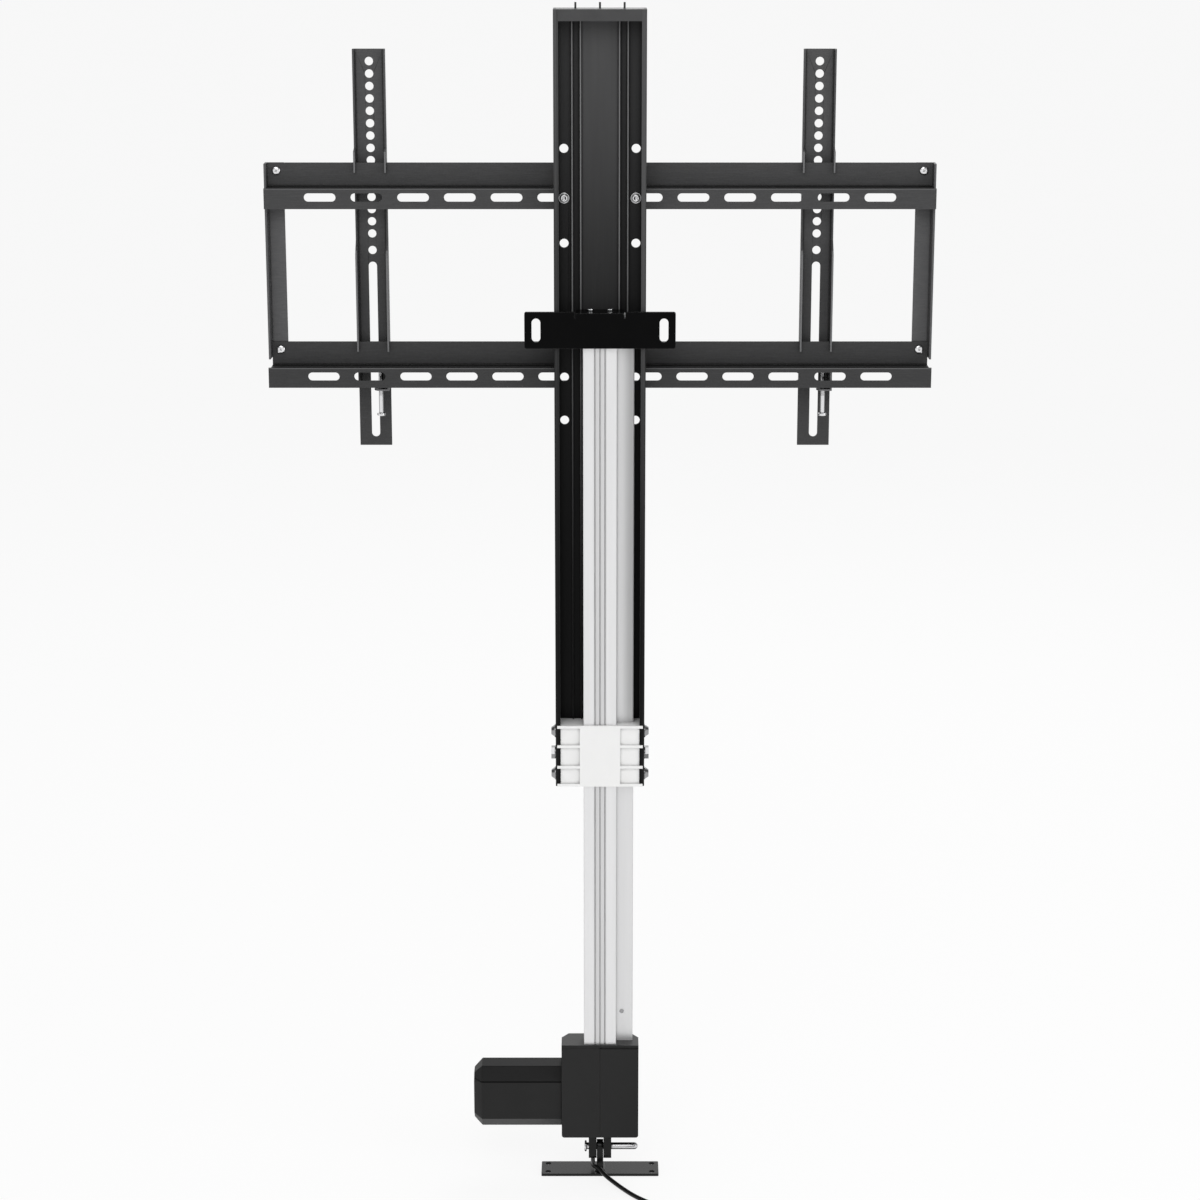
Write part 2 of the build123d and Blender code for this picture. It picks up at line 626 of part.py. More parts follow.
# Worm wheel, fixed on the lead screw
with BuildPart() as worm_wheel:
    tip_radius = wheel_pitch_radius + WHEEL_MODULE
    root_radius = wheel_pitch_radius - TOOTH_DEPTH_SHARE * WHEEL_MODULE
    foot, tip = TOOTH_FOOT_SHARE * WHEEL_MODULE, TOOTH_TIP_SHARE * WHEEL_MODULE
    with BuildSketch(on_screw_axis(motor_z - WHEEL_WIDTH / 2)):
        Circle(root_radius)
        with PolarLocations(0, WHEEL_TEETH):
            with BuildLine():
                Polyline(
                    (root_radius - WHEEL_MODULE, -foot),
                    (tip_radius, -tip),
                    (tip_radius, tip),
                    (root_radius - WHEEL_MODULE, foot),
                    close=True,
                )
            make_face()
        Circle(SCREW_COLLAR_RADIUS + SHAFT_FIT, mode=Mode.SUBTRACT)
    extrude(amount=WHEEL_WIDTH)
worm_wheel.part.label = "worm_wheel"
export_step(worm_wheel.part, "parts/worm_wheel.step")

# Bearings of the lead screw, each shown as one ring
for bearing_name, bearing_z, bearing_width, outer_radius, bore_radius in (
    ("lower", lower_bearing_z, LOWER_BEARING_WIDTH, LOWER_BEARING_RADIUS, SCREW_END_RADIUS),
    ("upper", upper_bearing_z, UPPER_BEARING_WIDTH, UPPER_BEARING_RADIUS, SCREW_COLLAR_RADIUS),
):
    with BuildPart() as bearing:
        rod(on_screw_axis(bearing_z), outer_radius, bearing_width)
        chamfer(bearing.edges().filter_by(GeomType.CIRCLE), length=BEARING_EDGE)
        rod(on_screw_axis(bearing_z), bore_radius + SHAFT_FIT, bearing_width, mode=Mode.SUBTRACT)
    bearing.part.label = f"{bearing_name}_bearing"
    export_step(bearing.part, f"parts/{bearing_name}_bearing.step")

# Guide profile
switch_x = profile_right + SWITCH_PLACE_SHARE * DUCT_WIDTH
switch_heights = {
    "lower": housing_top + LOWER_SWITCH_RISE,
    "upper": profile_top - UPPER_SWITCH_DROP,
}
with BuildPart() as guide_profile:
    with BuildSketch(Plane.XY.offset(profile_bottom)):
        profile_outline()
        patch(
            (-profile_right + PROFILE_WALL, profile_right - PROFILE_WALL),
            (profile_front + PROFILE_WALL, profile_back - PROFILE_WALL),
            mode=Mode.SUBTRACT,
        )
        patch(
            (profile_right, duct_right - DUCT_WALL),
            (duct_front + DUCT_WALL, duct_back - DUCT_WALL),
            mode=Mode.SUBTRACT,
        )
        patch(
            (-profile_right - OVERRUN, -profile_right + PROFILE_WALL),
            (PROFILE_MIDDLE_Y - NUT_SLOT_WIDTH / 2, PROFILE_MIDDLE_Y + NUT_SLOT_WIDTH / 2),
            mode=Mode.SUBTRACT,
        )
        with Locations((0, profile_front)):
            with GridLocations(GROOVE_PITCH, 0, 3, 1):
                Rectangle(GROOVE_WIDTH, 2 * GROOVE_DEPTH, mode=Mode.SUBTRACT)
    extrude(amount=PROFILE_LENGTH)
    for switch_z in switch_heights.values():
        duct_face = along_y(switch_x, duct_front, switch_z)
        with BuildSketch(duct_face):
            Circle(SWITCH_SCREW_HEAD_RADIUS + SHAFT_FIT)
        with BuildSketch(duct_face.offset(-DUCT_WALL)):
            Circle(SWITCH_SCREW_RADIUS + SHAFT_FIT)
        loft(mode=Mode.SUBTRACT)
guide_profile.part.label = "guide_profile"
export_step(guide_profile.part, "parts/guide_profile.step")

# Limit switches, held inside the duct's front wall
for switch_name, switch_z in switch_heights.items():
    with BuildPart() as limit_switch:
        switch_front = duct_front + DUCT_WALL
        block(
            (switch_x - SWITCH_WIDTH / 2, switch_x + SWITCH_WIDTH / 2),
            (switch_front, switch_front + SWITCH_DEPTH),
            (switch_z - SWITCH_HEIGHT / 2, switch_z + SWITCH_HEIGHT / 2),
        )
        screw_hole = along_y(switch_x, switch_front, switch_z)
        rod(screw_hole, SWITCH_SCREW_RADIUS + SHAFT_FIT, -SWITCH_SCREW_LENGTH, mode=Mode.SUBTRACT)
    limit_switch.part.label = f"limit_switch_{switch_name}"
    export_step(limit_switch.part, f"parts/limit_switch_{switch_name}.step")

# Their countersunk screws, flush with the duct
with BuildPart() as switch_screws:
    for switch_z in switch_heights.values():
        duct_face = along_y(switch_x, duct_front, switch_z)
        with BuildSketch(duct_face):
            Circle(SWITCH_SCREW_HEAD_RADIUS)
        with BuildSketch(duct_face.offset(-DUCT_WALL)):
            Circle(SWITCH_SCREW_RADIUS)
        loft()
        rod(duct_face.offset(-DUCT_WALL), SWITCH_SCREW_RADIUS, DUCT_WALL - SWITCH_SCREW_LENGTH)
switch_screws.part.label = "switch_screws"
export_step(switch_screws.part, "parts/switch_screws.step")

# Block in the profile's top: the screw's upper journal turns in it
bracket_screw_y = PROFILE_MIDDLE_Y
with BuildPart() as top_end_block:
    block(
        (-profile_right + PROFILE_WALL, profile_right - PROFILE_WALL),
        (profile_front + PROFILE_WALL, profile_back - PROFILE_WALL),
        (end_block_z, profile_top),
    )
    journal = SCREW_COLLAR_RADIUS + SHAFT_FIT
    rod(on_screw_axis(end_block_z), journal, SCREW_TOP_JOURNAL, mode=Mode.SUBTRACT)
    with BuildSketch(Plane.XY.offset(profile_top)):
        with Locations((0, bracket_screw_y)):
            with GridLocations(BRACKET_SCREW_SPACING, 0, 2, 1):
                Circle(BRACKET_SCREW_RADIUS + SHAFT_FIT)
    extrude(amount=-BRACKET_SCREW_LENGTH, mode=Mode.SUBTRACT)
top_end_block.part.label = "top_end_block"
export_step(top_end_block.part, "parts/top_end_block.step")

# Wall bracket: a slotted plate, with a tab bent back over the profile's top
bracket_back = carriage_front
bracket_front = bracket_back - BRACKET_THICKNESS
tab_top = profile_top + BRACKET_THICKNESS
bracket_top = tab_top + BRACKET_ABOVE_TAB
bracket_bottom = bracket_top - BRACKET_HEIGHT
relief_z = tab_top - BRACKET_THICKNESS - TAB_BEND
with BuildPart() as wall_bracket:
    with BuildSketch(seen_from_front(bracket_front)) as bracket_outline:
        patch((-BRACKET_WIDTH / 2, BRACKET_WIDTH / 2), (bracket_bottom, bracket_top))
        fillet(bracket_outline.vertices(), radius=BRACKET_CORNER)
        relief = TAB_WIDTH / 2 + TAB_RELIEF
        patch((-relief, relief), (relief_z, bracket_top + OVERRUN), mode=Mode.SUBTRACT)
        with Locations((0, (bracket_bottom + bracket_top) / 2)):
            with GridLocations(BRACKET_SLOT_SPACING, 0, 2, 1):
                SlotOverall(BRACKET_SLOT_LENGTH, BRACKET_SLOT_WIDTH, rotation=90, mode=Mode.SUBTRACT)
    extrude(amount=-BRACKET_THICKNESS)
    with BuildSketch(seen_from_right(-TAB_WIDTH / 2)) as tab_section:
        patch((bracket_front, bracket_back), (relief_z, tab_top))
        patch((bracket_front, bracket_back + TAB_REACH), (tab_top - BRACKET_THICKNESS, tab_top))
        corners = tab_section.vertices()
        inside = corners.sort_by_distance((bracket_back, tab_top - BRACKET_THICKNESS))[0]
        outside = corners.sort_by_distance((bracket_front, tab_top))[0]
        fillet(inside, radius=TAB_BEND * TAB_BEND_SHARE)
        fillet(outside, radius=TAB_BEND + BRACKET_THICKNESS)
    extrude(amount=TAB_WIDTH)
    with BuildSketch(Plane.XY.offset(tab_top)):
        with Locations((0, bracket_screw_y)):
            with GridLocations(BRACKET_SCREW_SPACING, 0, 2, 1):
                Circle(BRACKET_SCREW_RADIUS + SHAFT_FIT)
    extrude(amount=-BRACKET_THICKNESS, mode=Mode.SUBTRACT)
wall_bracket.part.label = "wall_bracket"
export_step(wall_bracket.part, "parts/wall_bracket.step")

with BuildPart() as bracket_screws:
    for screw_x in (-BRACKET_SCREW_SPACING / 2, BRACKET_SCREW_SPACING / 2):
        under_head = Plane(origin=(screw_x, bracket_screw_y, tab_top))
        rod(under_head, BRACKET_SCREW_RADIUS, -BRACKET_SCREW_LENGTH)
        rod(under_head, BRACKET_SCREW_HEAD_RADIUS, BRACKET_SCREW_HEAD)
        cross_recess(under_head.offset(BRACKET_SCREW_HEAD))
bracket_screws.part.label = "bracket_screws"
export_step(bracket_screws.part, "parts/bracket_screws.step")


def fins(air=0, mode=Mode.ADD):
    """The fins on the column's web, in the open sketch."""
    for fin_x in FIN_PLACES:
        for side in (-1, 1):
            patch(
                (side * fin_x - FIN_THICKNESS / 2 - air, side * fin_x + FIN_THICKNESS / 2 + air),
                (web_front - FIN_HEIGHT - air, web_front + air),
                mode=mode,
            )


# Column channel: a web with two flanges, lips along their front edges and fins on the web
with BuildPart() as column_channel:
    with BuildSketch(Plane.XY.offset(carriage_bottom)) as column_section:
        patch((-COLUMN_WIDTH / 2, COLUMN_WIDTH / 2), (column_front, column_back))
        fillet(column_section.vertices(), radius=COLUMN_CORNER)
        patch((-column_inside, column_inside), (column_front + LIP_THICKNESS, web_front), mode=Mode.SUBTRACT)
        patch((-lip_inside, lip_inside), (column_front - OVERRUN, web_front), mode=Mode.SUBTRACT)
        fins()
    extrude(amount=COLUMN_LENGTH)
    with BuildSketch(seen_from_front(web_front)):
        for drop in (*SPARE_HOLE_DROPS, TOP_RAIL_DROP, BOTTOM_RAIL_DROP):
            with Locations((0, column_top - drop)):
                with GridLocations(COLUMN_HOLE_SPACING, 0, 2, 1):
                    Circle(COLUMN_HOLE_RADIUS)
    extrude(amount=-COLUMN_WALL, mode=Mode.SUBTRACT)
    with BuildSketch(seen_from_right(-COLUMN_WIDTH / 2)):
        with Locations([(column_middle_y, carriage_bottom + rise) for rise in CARRIAGE_BOLT_RISES]):
            Circle(CARRIAGE_BOLT_RADIUS + SHAFT_FIT)
    extrude(amount=COLUMN_WIDTH, mode=Mode.SUBTRACT)
column_channel.part.label = "column_channel"
export_step(column_channel.part, "parts/column_channel.step")

# Cap between the flanges at the column's top, and its studs
with BuildPart() as column_cap:
    with BuildSketch(Plane.XY.offset(column_top - CAP_HEIGHT)):
        patch((-lip_inside, lip_inside), (column_front, column_front + LIP_THICKNESS))
        patch((-column_inside, column_inside), (column_front + LIP_THICKNESS, web_front))
        fins(air=SHAFT_FIT, mode=Mode.SUBTRACT)
    extrude(amount=CAP_HEIGHT)
    with BuildSketch(Plane.XY.offset(column_top)):
        with Locations((0, column_middle_y)):
            with GridLocations(CAP_STUD_SPACING, 0, 3, 1):
                Circle(CAP_STUD_RADIUS + SHAFT_FIT)
    extrude(amount=-CAP_STUD_BELOW, mode=Mode.SUBTRACT)
column_cap.part.label = "column_cap"
export_step(column_cap.part, "parts/column_cap.step")

with BuildPart() as cap_studs:
    with BuildSketch(Plane.XY.offset(column_top - CAP_STUD_BELOW)):
        with Locations((0, column_middle_y)):
            with GridLocations(CAP_STUD_SPACING, 0, 3, 1):
                Circle(CAP_STUD_RADIUS)
    extrude(amount=CAP_STUD_BELOW + CAP_STUD_ABOVE)
cap_studs.part.label = "cap_studs"
export_step(cap_studs.part, "parts/cap_studs.step")

# Carriage block: fills the channel's lower end round the guide profile, with ribs over the flanges' edges
nut_middle = carriage_bottom + CARRIAGE_HEIGHT / 2
neck_left = -profile_right - NECK_REACH
neck_half = NUT_SLOT_WIDTH / 2 - RUNNING
neck_span = (nut_middle - NECK_HEIGHT / 2, nut_middle + NECK_HEIGHT / 2)
bolt_tip = COLUMN_WIDTH / 2 - CARRIAGE_BOLT_LENGTH
with BuildPart() as carriage_block:
    pocket_floor = carriage_front + POCKET_DEPTH
    with BuildSketch(Plane.XY.offset(carriage_bottom)):
        patch((-column_inside, column_inside), (column_front + LIP_THICKNESS, web_front))
        patch((-lip_inside, lip_inside), (pocket_floor, web_front))
        patch((-PAD_WIDTH / 2, PAD_WIDTH / 2), (carriage_front, web_front))
    extrude(amount=CARRIAGE_HEIGHT)
    for rise in RIB_RISES:
        rib = (carriage_bottom + rise, carriage_bottom + rise + RIB_THICKNESS)
        block((-RIB_WIDTH / 2, RIB_WIDTH / 2), (carriage_front, column_front), rib)
        block((-lip_inside, lip_inside), (carriage_front, pocket_floor), rib)
    with BuildSketch(Plane.XY.offset(carriage_bottom)):
        profile_outline(air=RUNNING)
        fins(air=SHAFT_FIT)
    extrude(amount=CARRIAGE_HEIGHT, mode=Mode.SUBTRACT)
    block(
        (neck_left, 0),
        (PROFILE_MIDDLE_Y - neck_half, PROFILE_MIDDLE_Y + neck_half),
        neck_span,
        mode=Mode.SUBTRACT,
    )
    for side in (-1, 1):
        for rise in CARRIAGE_BOLT_RISES:
            tip = along_x(side * bolt_tip, column_middle_y, carriage_bottom + rise)
            rod(tip, CARRIAGE_BOLT_RADIUS + SHAFT_FIT, side * CARRIAGE_BOLT_LENGTH, mode=Mode.SUBTRACT)
carriage_block.part.label = "carriage_block"
export_step(carriage_block.part, "parts/carriage_block.step")

# Drive nut inside the profile
with BuildPart() as drive_nut:
    nut_air = PROFILE_WALL + RUNNING
    block(
        (-profile_right + nut_air, profile_right - nut_air),
        (profile_front + nut_air, profile_back - nut_air),
        (nut_middle - NUT_HEIGHT / 2, nut_middle + NUT_HEIGHT / 2),
    )
    block(
        (neck_left, -profile_right + nut_air),
        (PROFILE_MIDDLE_Y - neck_half, PROFILE_MIDDLE_Y + neck_half),
        neck_span,
    )
    nut_bottom = on_screw_axis(nut_middle - NUT_HEIGHT / 2)
    rod(nut_bottom, SCREW_RADIUS + SHAFT_FIT, NUT_HEIGHT, mode=Mode.SUBTRACT)
drive_nut.part.label = "drive_nut"
export_step(drive_nut.part, "parts/drive_nut.step")

# Bolts through the column's flanges into the block: dome heads above and below, hexagons between
with BuildPart() as carriage_round_bolts:
    for side in (-1, 1):
        for rise in (CARRIAGE_BOLT_RISES[0], CARRIAGE_BOLT_RISES[-1]):
            seat = Plane(
                origin=(side * COLUMN_WIDTH / 2, column_middle_y, carriage_bottom + rise),
                x_dir=(0, 1, 0),
                z_dir=(side, 0, 0),
            )
            rod(seat, CARRIAGE_BOLT_RADIUS, -CARRIAGE_BOLT_LENGTH)
            rod(seat, CARRIAGE_BOLT_HEAD_RADIUS, CARRIAGE_BOLT_WASHER)
            with BuildSketch(seat.offset(CARRIAGE_BOLT_WASHER)):
                Circle(CARRIAGE_BOLT_HEAD_RADIUS * CARRIAGE_BOLT_DOME_SHARE)
            dome_height = CARRIAGE_BOLT_HEAD - CARRIAGE_BOLT_WASHER
            extrude(amount=dome_height, taper=CARRIAGE_BOLT_TAPER)
            cross_recess(seat.offset(CARRIAGE_BOLT_HEAD))
carriage_round_bolts.part.label = "carriage_round_bolts"
export_step(carriage_round_bolts.part, "parts/carriage_round_bolts.step")

with BuildPart() as carriage_hex_bolts:
    for side in (-1, 1):
        seat = Plane(
            origin=(side * COLUMN_WIDTH / 2, column_middle_y, carriage_bottom + CARRIAGE_BOLT_RISES[1]),
            x_dir=(0, 1, 0),
            z_dir=(side, 0, 0),
        )
        rod(seat, CARRIAGE_BOLT_RADIUS, -CARRIAGE_BOLT_LENGTH)
        rod(seat, CARRIAGE_BOLT_HEAD_RADIUS, CARRIAGE_BOLT_WASHER)
        with BuildSketch(seat.offset(CARRIAGE_BOLT_WASHER)):
            RegularPolygon(CARRIAGE_BOLT_HEX / 2, HEX_SIDES, major_radius=False)
        extrude(amount=CARRIAGE_BOLT_HEAD - CARRIAGE_BOLT_WASHER)
carriage_hex_bolts.part.label = "carriage_hex_bolts"
export_step(carriage_hex_bolts.part, "parts/carriage_hex_bolts.step")

# Rails: folded in a Z, the slotted flange towards the viewer and the upper flange towards the TV
for rail_name, row in (("top_rail", top_row), ("bottom_rail", bottom_row)):
    rail_z = row - RAIL_SLOT_RISE
    ledge = (rail_z + RAIL_LOWER_FLANGE - RAIL_SHEET, rail_z + RAIL_LOWER_FLANGE)
    with BuildPart() as rail:
        with BuildSketch(seen_from_right(-RAIL_LENGTH / 2)) as rail_section:
            patch((rail_front, rail_front + RAIL_SHEET), (rail_z, ledge[1]))
            patch((rail_front, rail_upper_back), ledge)
            patch((rail_upper_front, rail_upper_back), (ledge[0], rail_z + RAIL_HEIGHT))
            folds = rail_section.vertices()
            inner_folds = (
                folds.sort_by_distance((rail_front + RAIL_SHEET, ledge[0]))[0],
                folds.sort_by_distance((rail_upper_front, ledge[1]))[0],
            )
            outer_folds = (
                folds.sort_by_distance((rail_front, ledge[1]))[0],
                folds.sort_by_distance((rail_upper_back, ledge[0]))[0],
            )
            fillet(inner_folds, radius=RAIL_BEND)
            fillet(outer_folds, radius=RAIL_BEND + RAIL_SHEET)
        extrude(amount=RAIL_LENGTH)
        with BuildSketch(seen_from_front(rail_front)):
            with Locations((0, row)):
                with GridLocations(RAIL_SLOT_PITCH, 0, RAIL_SLOT_COUNT, 1):
                    SlotOverall(RAIL_SLOT_LENGTH, RAIL_SLOT_WIDTH)
        extrude(amount=-RAIL_SHEET, mode=Mode.SUBTRACT)
        for side in (-1, 1):
            end = side * RAIL_LENGTH / 2
            block(
                sorted((end - side * (BAR_SHEET + BAR_BEND), end + side * OVERRUN)),
                (rail_front + RAIL_SHEET, rail_upper_back + OVERRUN),
                (rail_z - OVERRUN, rail_z + RAIL_HEIGHT + OVERRUN),
                mode=Mode.SUBTRACT,
            )
            screw = along_y(side * frame_screw_x, rail_upper_front, rail_z + RAIL_HEIGHT - FRAME_SCREW_DROP)
            rod(screw, FRAME_SCREW_RADIUS + SHAFT_FIT, -RAIL_SHEET, mode=Mode.SUBTRACT)
    rail.part.label = rail_name
    export_step(rail.part, f"parts/{rail_name}.step")

# Side bars behind the rails' ends, with a flange towards the viewer
frame_screw_heights = (frame_top - FRAME_SCREW_DROP, bottom_rail_top - FRAME_SCREW_DROP)
bar_bottom = bottom_rail_top - BAR_BELOW
for bar_name, side in (("left", -1), ("right", 1)):
    end = side * RAIL_LENGTH / 2
    with BuildPart() as side_bar:
        with BuildSketch(Plane.XY.offset(bar_bottom)) as bar_section:
            patch(sorted((end, end - side * BAR_WIDTH)), (rail_upper_back, bar_back))
            patch(sorted((end, end - side * BAR_SHEET)), (bar_back - BAR_FLANGE, bar_back))
            corners = bar_section.vertices()
            inner_fold = corners.sort_by_distance((end - side * BAR_SHEET, rail_upper_back))[0]
            outer_fold = corners.sort_by_distance((end, bar_back))[0]
            fillet(inner_fold, radius=BAR_BEND)
            fillet(outer_fold, radius=BAR_BEND + BAR_SHEET)
        extrude(amount=frame_top - bar_bottom)
        for screw_z in frame_screw_heights:
            screw = along_y(side * frame_screw_x, rail_upper_back, screw_z)
            rod(screw, FRAME_SCREW_RADIUS + SHAFT_FIT, -BAR_SHEET, mode=Mode.SUBTRACT)
    side_bar.part.label = f"side_bar_{bar_name}"
    export_step(side_bar.part, f"parts/side_bar_{bar_name}.step")

# Screws and nuts at the frame's four corners
frame_corners = [(side * frame_screw_x, z) for side in (-1, 1) for z in frame_screw_heights]
frame_grip = RAIL_SHEET + BAR_SHEET
with BuildPart() as frame_screws:
    for screw_x, screw_z in frame_corners:
        under_head = along_y(screw_x, rail_upper_front, screw_z)
        rod(under_head, FRAME_SCREW_RADIUS, -frame_grip - FRAME_NUT_THICKNESS)
        with BuildSketch(under_head):
            Circle(FRAME_SCREW_HEAD_RADIUS)
        extrude(amount=FRAME_SCREW_HEAD, taper=FRAME_SCREW_TAPER)
        cross_recess(under_head.offset(FRAME_SCREW_HEAD))
frame_screws.part.label = "frame_screws"
export_step(frame_screws.part, "parts/frame_screws.step")

with BuildPart() as frame_nuts:
    for screw_x, screw_z in frame_corners:
        with BuildSketch(along_y(screw_x, bar_back, screw_z)):
            RegularPolygon(FRAME_NUT_WIDTH / 2, HEX_SIDES, major_radius=False)
            Circle(FRAME_SCREW_RADIUS + SHAFT_FIT, mode=Mode.SUBTRACT)
        extrude(amount=-FRAME_NUT_THICKNESS)
frame_nuts.part.label = "frame_nuts"
export_step(frame_nuts.part, "parts/frame_nuts.step")

# Bolts through the column's web and the top rail's slots, and their nuts
with BuildPart() as column_bolts:
    for bolt_x in (-COLUMN_HOLE_SPACING / 2, COLUMN_HOLE_SPACING / 2):
        under_head = along_y(bolt_x, web_front, top_row)
        grip = COLUMN_WALL + RAIL_SHEET
        rod(under_head, COLUMN_BOLT_RADIUS, -grip - COLUMN_NUT_THICKNESS)
        with BuildSketch(under_head):
            Circle(COLUMN_BOLT_HEAD_RADIUS)
        extrude(amount=COLUMN_BOLT_HEAD, taper=COLUMN_BOLT_TAPER)
        with BuildSketch(under_head.offset(COLUMN_BOLT_HEAD)):
            RegularPolygon(BOLT_SOCKET_WIDTH / 2, HEX_SIDES, major_radius=False)
        extrude(amount=-BOLT_SOCKET_DEPTH, mode=Mode.SUBTRACT)
column_bolts.part.label = "column_bolts"
export_step(column_bolts.part, "parts/column_bolts.step")

with BuildPart() as column_nuts:
    for bolt_x in (-COLUMN_HOLE_SPACING / 2, COLUMN_HOLE_SPACING / 2):
        with BuildSketch(along_y(bolt_x, rail_front + RAIL_SHEET, top_row)):
            RegularPolygon(COLUMN_NUT_WIDTH / 2, HEX_SIDES, major_radius=False)
            Circle(COLUMN_BOLT_RADIUS + SHAFT_FIT, mode=Mode.SUBTRACT)
        extrude(amount=-COLUMN_NUT_THICKNESS)
column_nuts.part.label = "column_nuts"
export_step(column_nuts.part, "parts/column_nuts.step")

# TV arms: a drilled web on the TV side, and two flanges cut to hook over the rails
arm_top = frame_top + ARM_ABOVE_RAIL
arm_bottom = arm_top - ARM_LENGTH
arm_web_front = rail_upper_back + ARM_BACK_GAP
arm_back = arm_web_front + ARM_SHEET
flange_front = arm_back - ARM_FLANGE
behind_rail = rail_upper_back + RUNNING
hook_inside = rail_upper_front - RUNNING
hook_front = hook_inside - HOOK_THICKNESS
widen_z = bottom_rail_top + ARM_WIDENS_ABOVE
lock_tab_top = ledge_under - LOCK_TAB_DROP
lock_tab_bottom = lock_tab_top - ARM_SHEET
lock_y = rail_front + LOCK_SCREW_BEHIND
step_back = flange_front - behind_rail


def hook(rail_top):
    """Outline points of one hook over a rail, from its nose down, round the rail's edge and behind it."""
    return [
        (hook_front, rail_top - HOOK_DROP),
        (hook_inside, rail_top - HOOK_DROP),
        (hook_inside, rail_top + RUNNING),
        (behind_rail, rail_top + RUNNING),
    ]


def flange_points(with_leg):
    """The outline of one arm flange, as (Y, Z) points. The leg carries the lock screw's tab."""
    upper = [
        (arm_back, arm_top),
        (flange_front, arm_top),
        (flange_front, frame_top + HOOK_RISE + HOOK_TAPER),
        (hook_front, frame_top + HOOK_RISE),
        *hook(frame_top),
        (behind_rail, frame_top - HOOK_DROP),
        (flange_front, frame_top - HOOK_DROP - step_back),
        (flange_front, widen_z + ARM_WIDENS_OVER),
        (hook_front, widen_z),
        *hook(bottom_rail_top),
    ]
    if with_leg:
        lower = [
            (behind_rail, ledge_under - RUNNING),
            (arm_back - ARM_LEG_DEPTH, ledge_under - RUNNING),
            (arm_back - ARM_LEG_DEPTH, lock_tab_bottom),
        ]
    else:
        lower = [
            (behind_rail, lock_tab_bottom + step_back),
            (flange_front, lock_tab_bottom),
        ]
    return [*upper, *lower, (arm_back, lock_tab_bottom)]


hole_heights = [arm_top - ARM_FIRST_HOLE_DROP - n * ARM_HOLE_PITCH for n in range(ARM_HOLE_COUNT)]
hole_heights.append(hole_heights[-1] - ARM_LAST_HOLE_STEP)
arm_slot_z = arm_bottom + ARM_SLOT_RISE + ARM_SLOT_LENGTH / 2
for arm_name, arm_x in ARM_PLACES.items():
    arm_left, arm_right = arm_x - ARM_WIDTH / 2, arm_x + ARM_WIDTH / 2
    lock_x = arm_x + LOCK_SCREW_X
    with BuildPart() as tv_arm:
        with BuildSketch(seen_from_front(arm_web_front)):
            patch((arm_left, arm_right), (arm_bottom, arm_top))
            with Locations([(arm_x, z) for z in hole_heights]):
                Circle(ARM_HOLE_RADIUS, mode=Mode.SUBTRACT)
            with Locations((arm_x, arm_slot_z)):
                SlotOverall(ARM_SLOT_LENGTH, 2 * ARM_HOLE_RADIUS, rotation=90, mode=Mode.SUBTRACT)
        extrude(amount=-ARM_SHEET)
        for flange_x, with_leg in ((arm_left, False), (arm_right - ARM_SHEET, True)):
            with BuildSketch(seen_from_right(flange_x)):
                Polygon(*flange_points(with_leg), align=None)
            extrude(amount=ARM_SHEET)
        with BuildSketch(Plane.XY.offset(lock_tab_bottom)):
            tab_y = (lock_y - LOCK_TAB_WIDTH / 2, lock_y + LOCK_TAB_WIDTH / 2)
            patch((lock_x, arm_right - ARM_SHEET / 2), tab_y)
            with Locations((lock_x, lock_y)):
                Circle(LOCK_TAB_WIDTH / 2)
                Circle(LOCK_SCREW_RADIUS + SHAFT_FIT, mode=Mode.SUBTRACT)
        extrude(amount=ARM_SHEET)
    tv_arm.part.label = f"tv_arm_{arm_name}"
    export_step(tv_arm.part, f"parts/tv_arm_{arm_name}.step")

    # the screw that locks the arm against the bottom rail's ledge, head down
    with BuildPart() as lock_screw:
        tip = Plane(origin=(lock_x, lock_y, ledge_under - RUNNING))
        rod(tip, LOCK_SCREW_RADIUS, -LOCK_SCREW_LENGTH)
        rod(tip.offset(-LOCK_SCREW_LENGTH), LOCK_SCREW_HEAD_RADIUS, -LOCK_SCREW_HEAD)
        head_z = ledge_under - RUNNING - LOCK_SCREW_LENGTH - LOCK_SCREW_HEAD
        cross_recess(Plane(origin=(lock_x, lock_y, head_z), z_dir=(0, 0, -1)))
    lock_screw.part.label = f"lock_screw_{arm_name}"
    export_step(lock_screw.part, f"parts/lock_screw_{arm_name}.step")

# Gland in the housing's underside, where the motor lead comes out
with BuildPart() as lead_gland:
    gland_bottom = Plane(origin=(gland_x, gland_y, housing_bottom - GLAND_BELOW))
    with BuildSketch(gland_bottom):
        Circle(GLAND_RADIUS - GLAND_FLANGE)
    with BuildSketch(gland_bottom.offset(GLAND_BELOW)):
        Circle(GLAND_RADIUS)
    loft()
    rod(gland_bottom.offset(GLAND_BELOW), GLAND_RADIUS - GLAND_FLANGE - SHAFT_FIT, GLAND_IN)
lead_gland.part.label = "lead_gland"
export_step(lead_gland.part, "parts/lead_gland.step")


def corner_radii(points):
    """A fillet radius for each inner point of a route: as large as its two runs allow."""
    radii = []
    for before, at, after in zip(points, points[1:], points[2:]):
        run_in, run_out = Vector(*at) - Vector(*before), Vector(*after) - Vector(*at)
        turn = math.radians(run_in.get_angle(run_out))
        shorter = min(run_in.length, run_out.length)
        radii.append(RUN_SHARE * shorter / math.tan(turn / 2))
    return radii


def report(name, part, path):
    """Prints a stretch of lead: its length and how its volume compares with its section times its length."""
    share = part.volume / (math.pi * LEAD_RADIUS**2 * path.length)
    print(f"{name}: length {path.length:.1f} mm, volume share {share:.4f}")


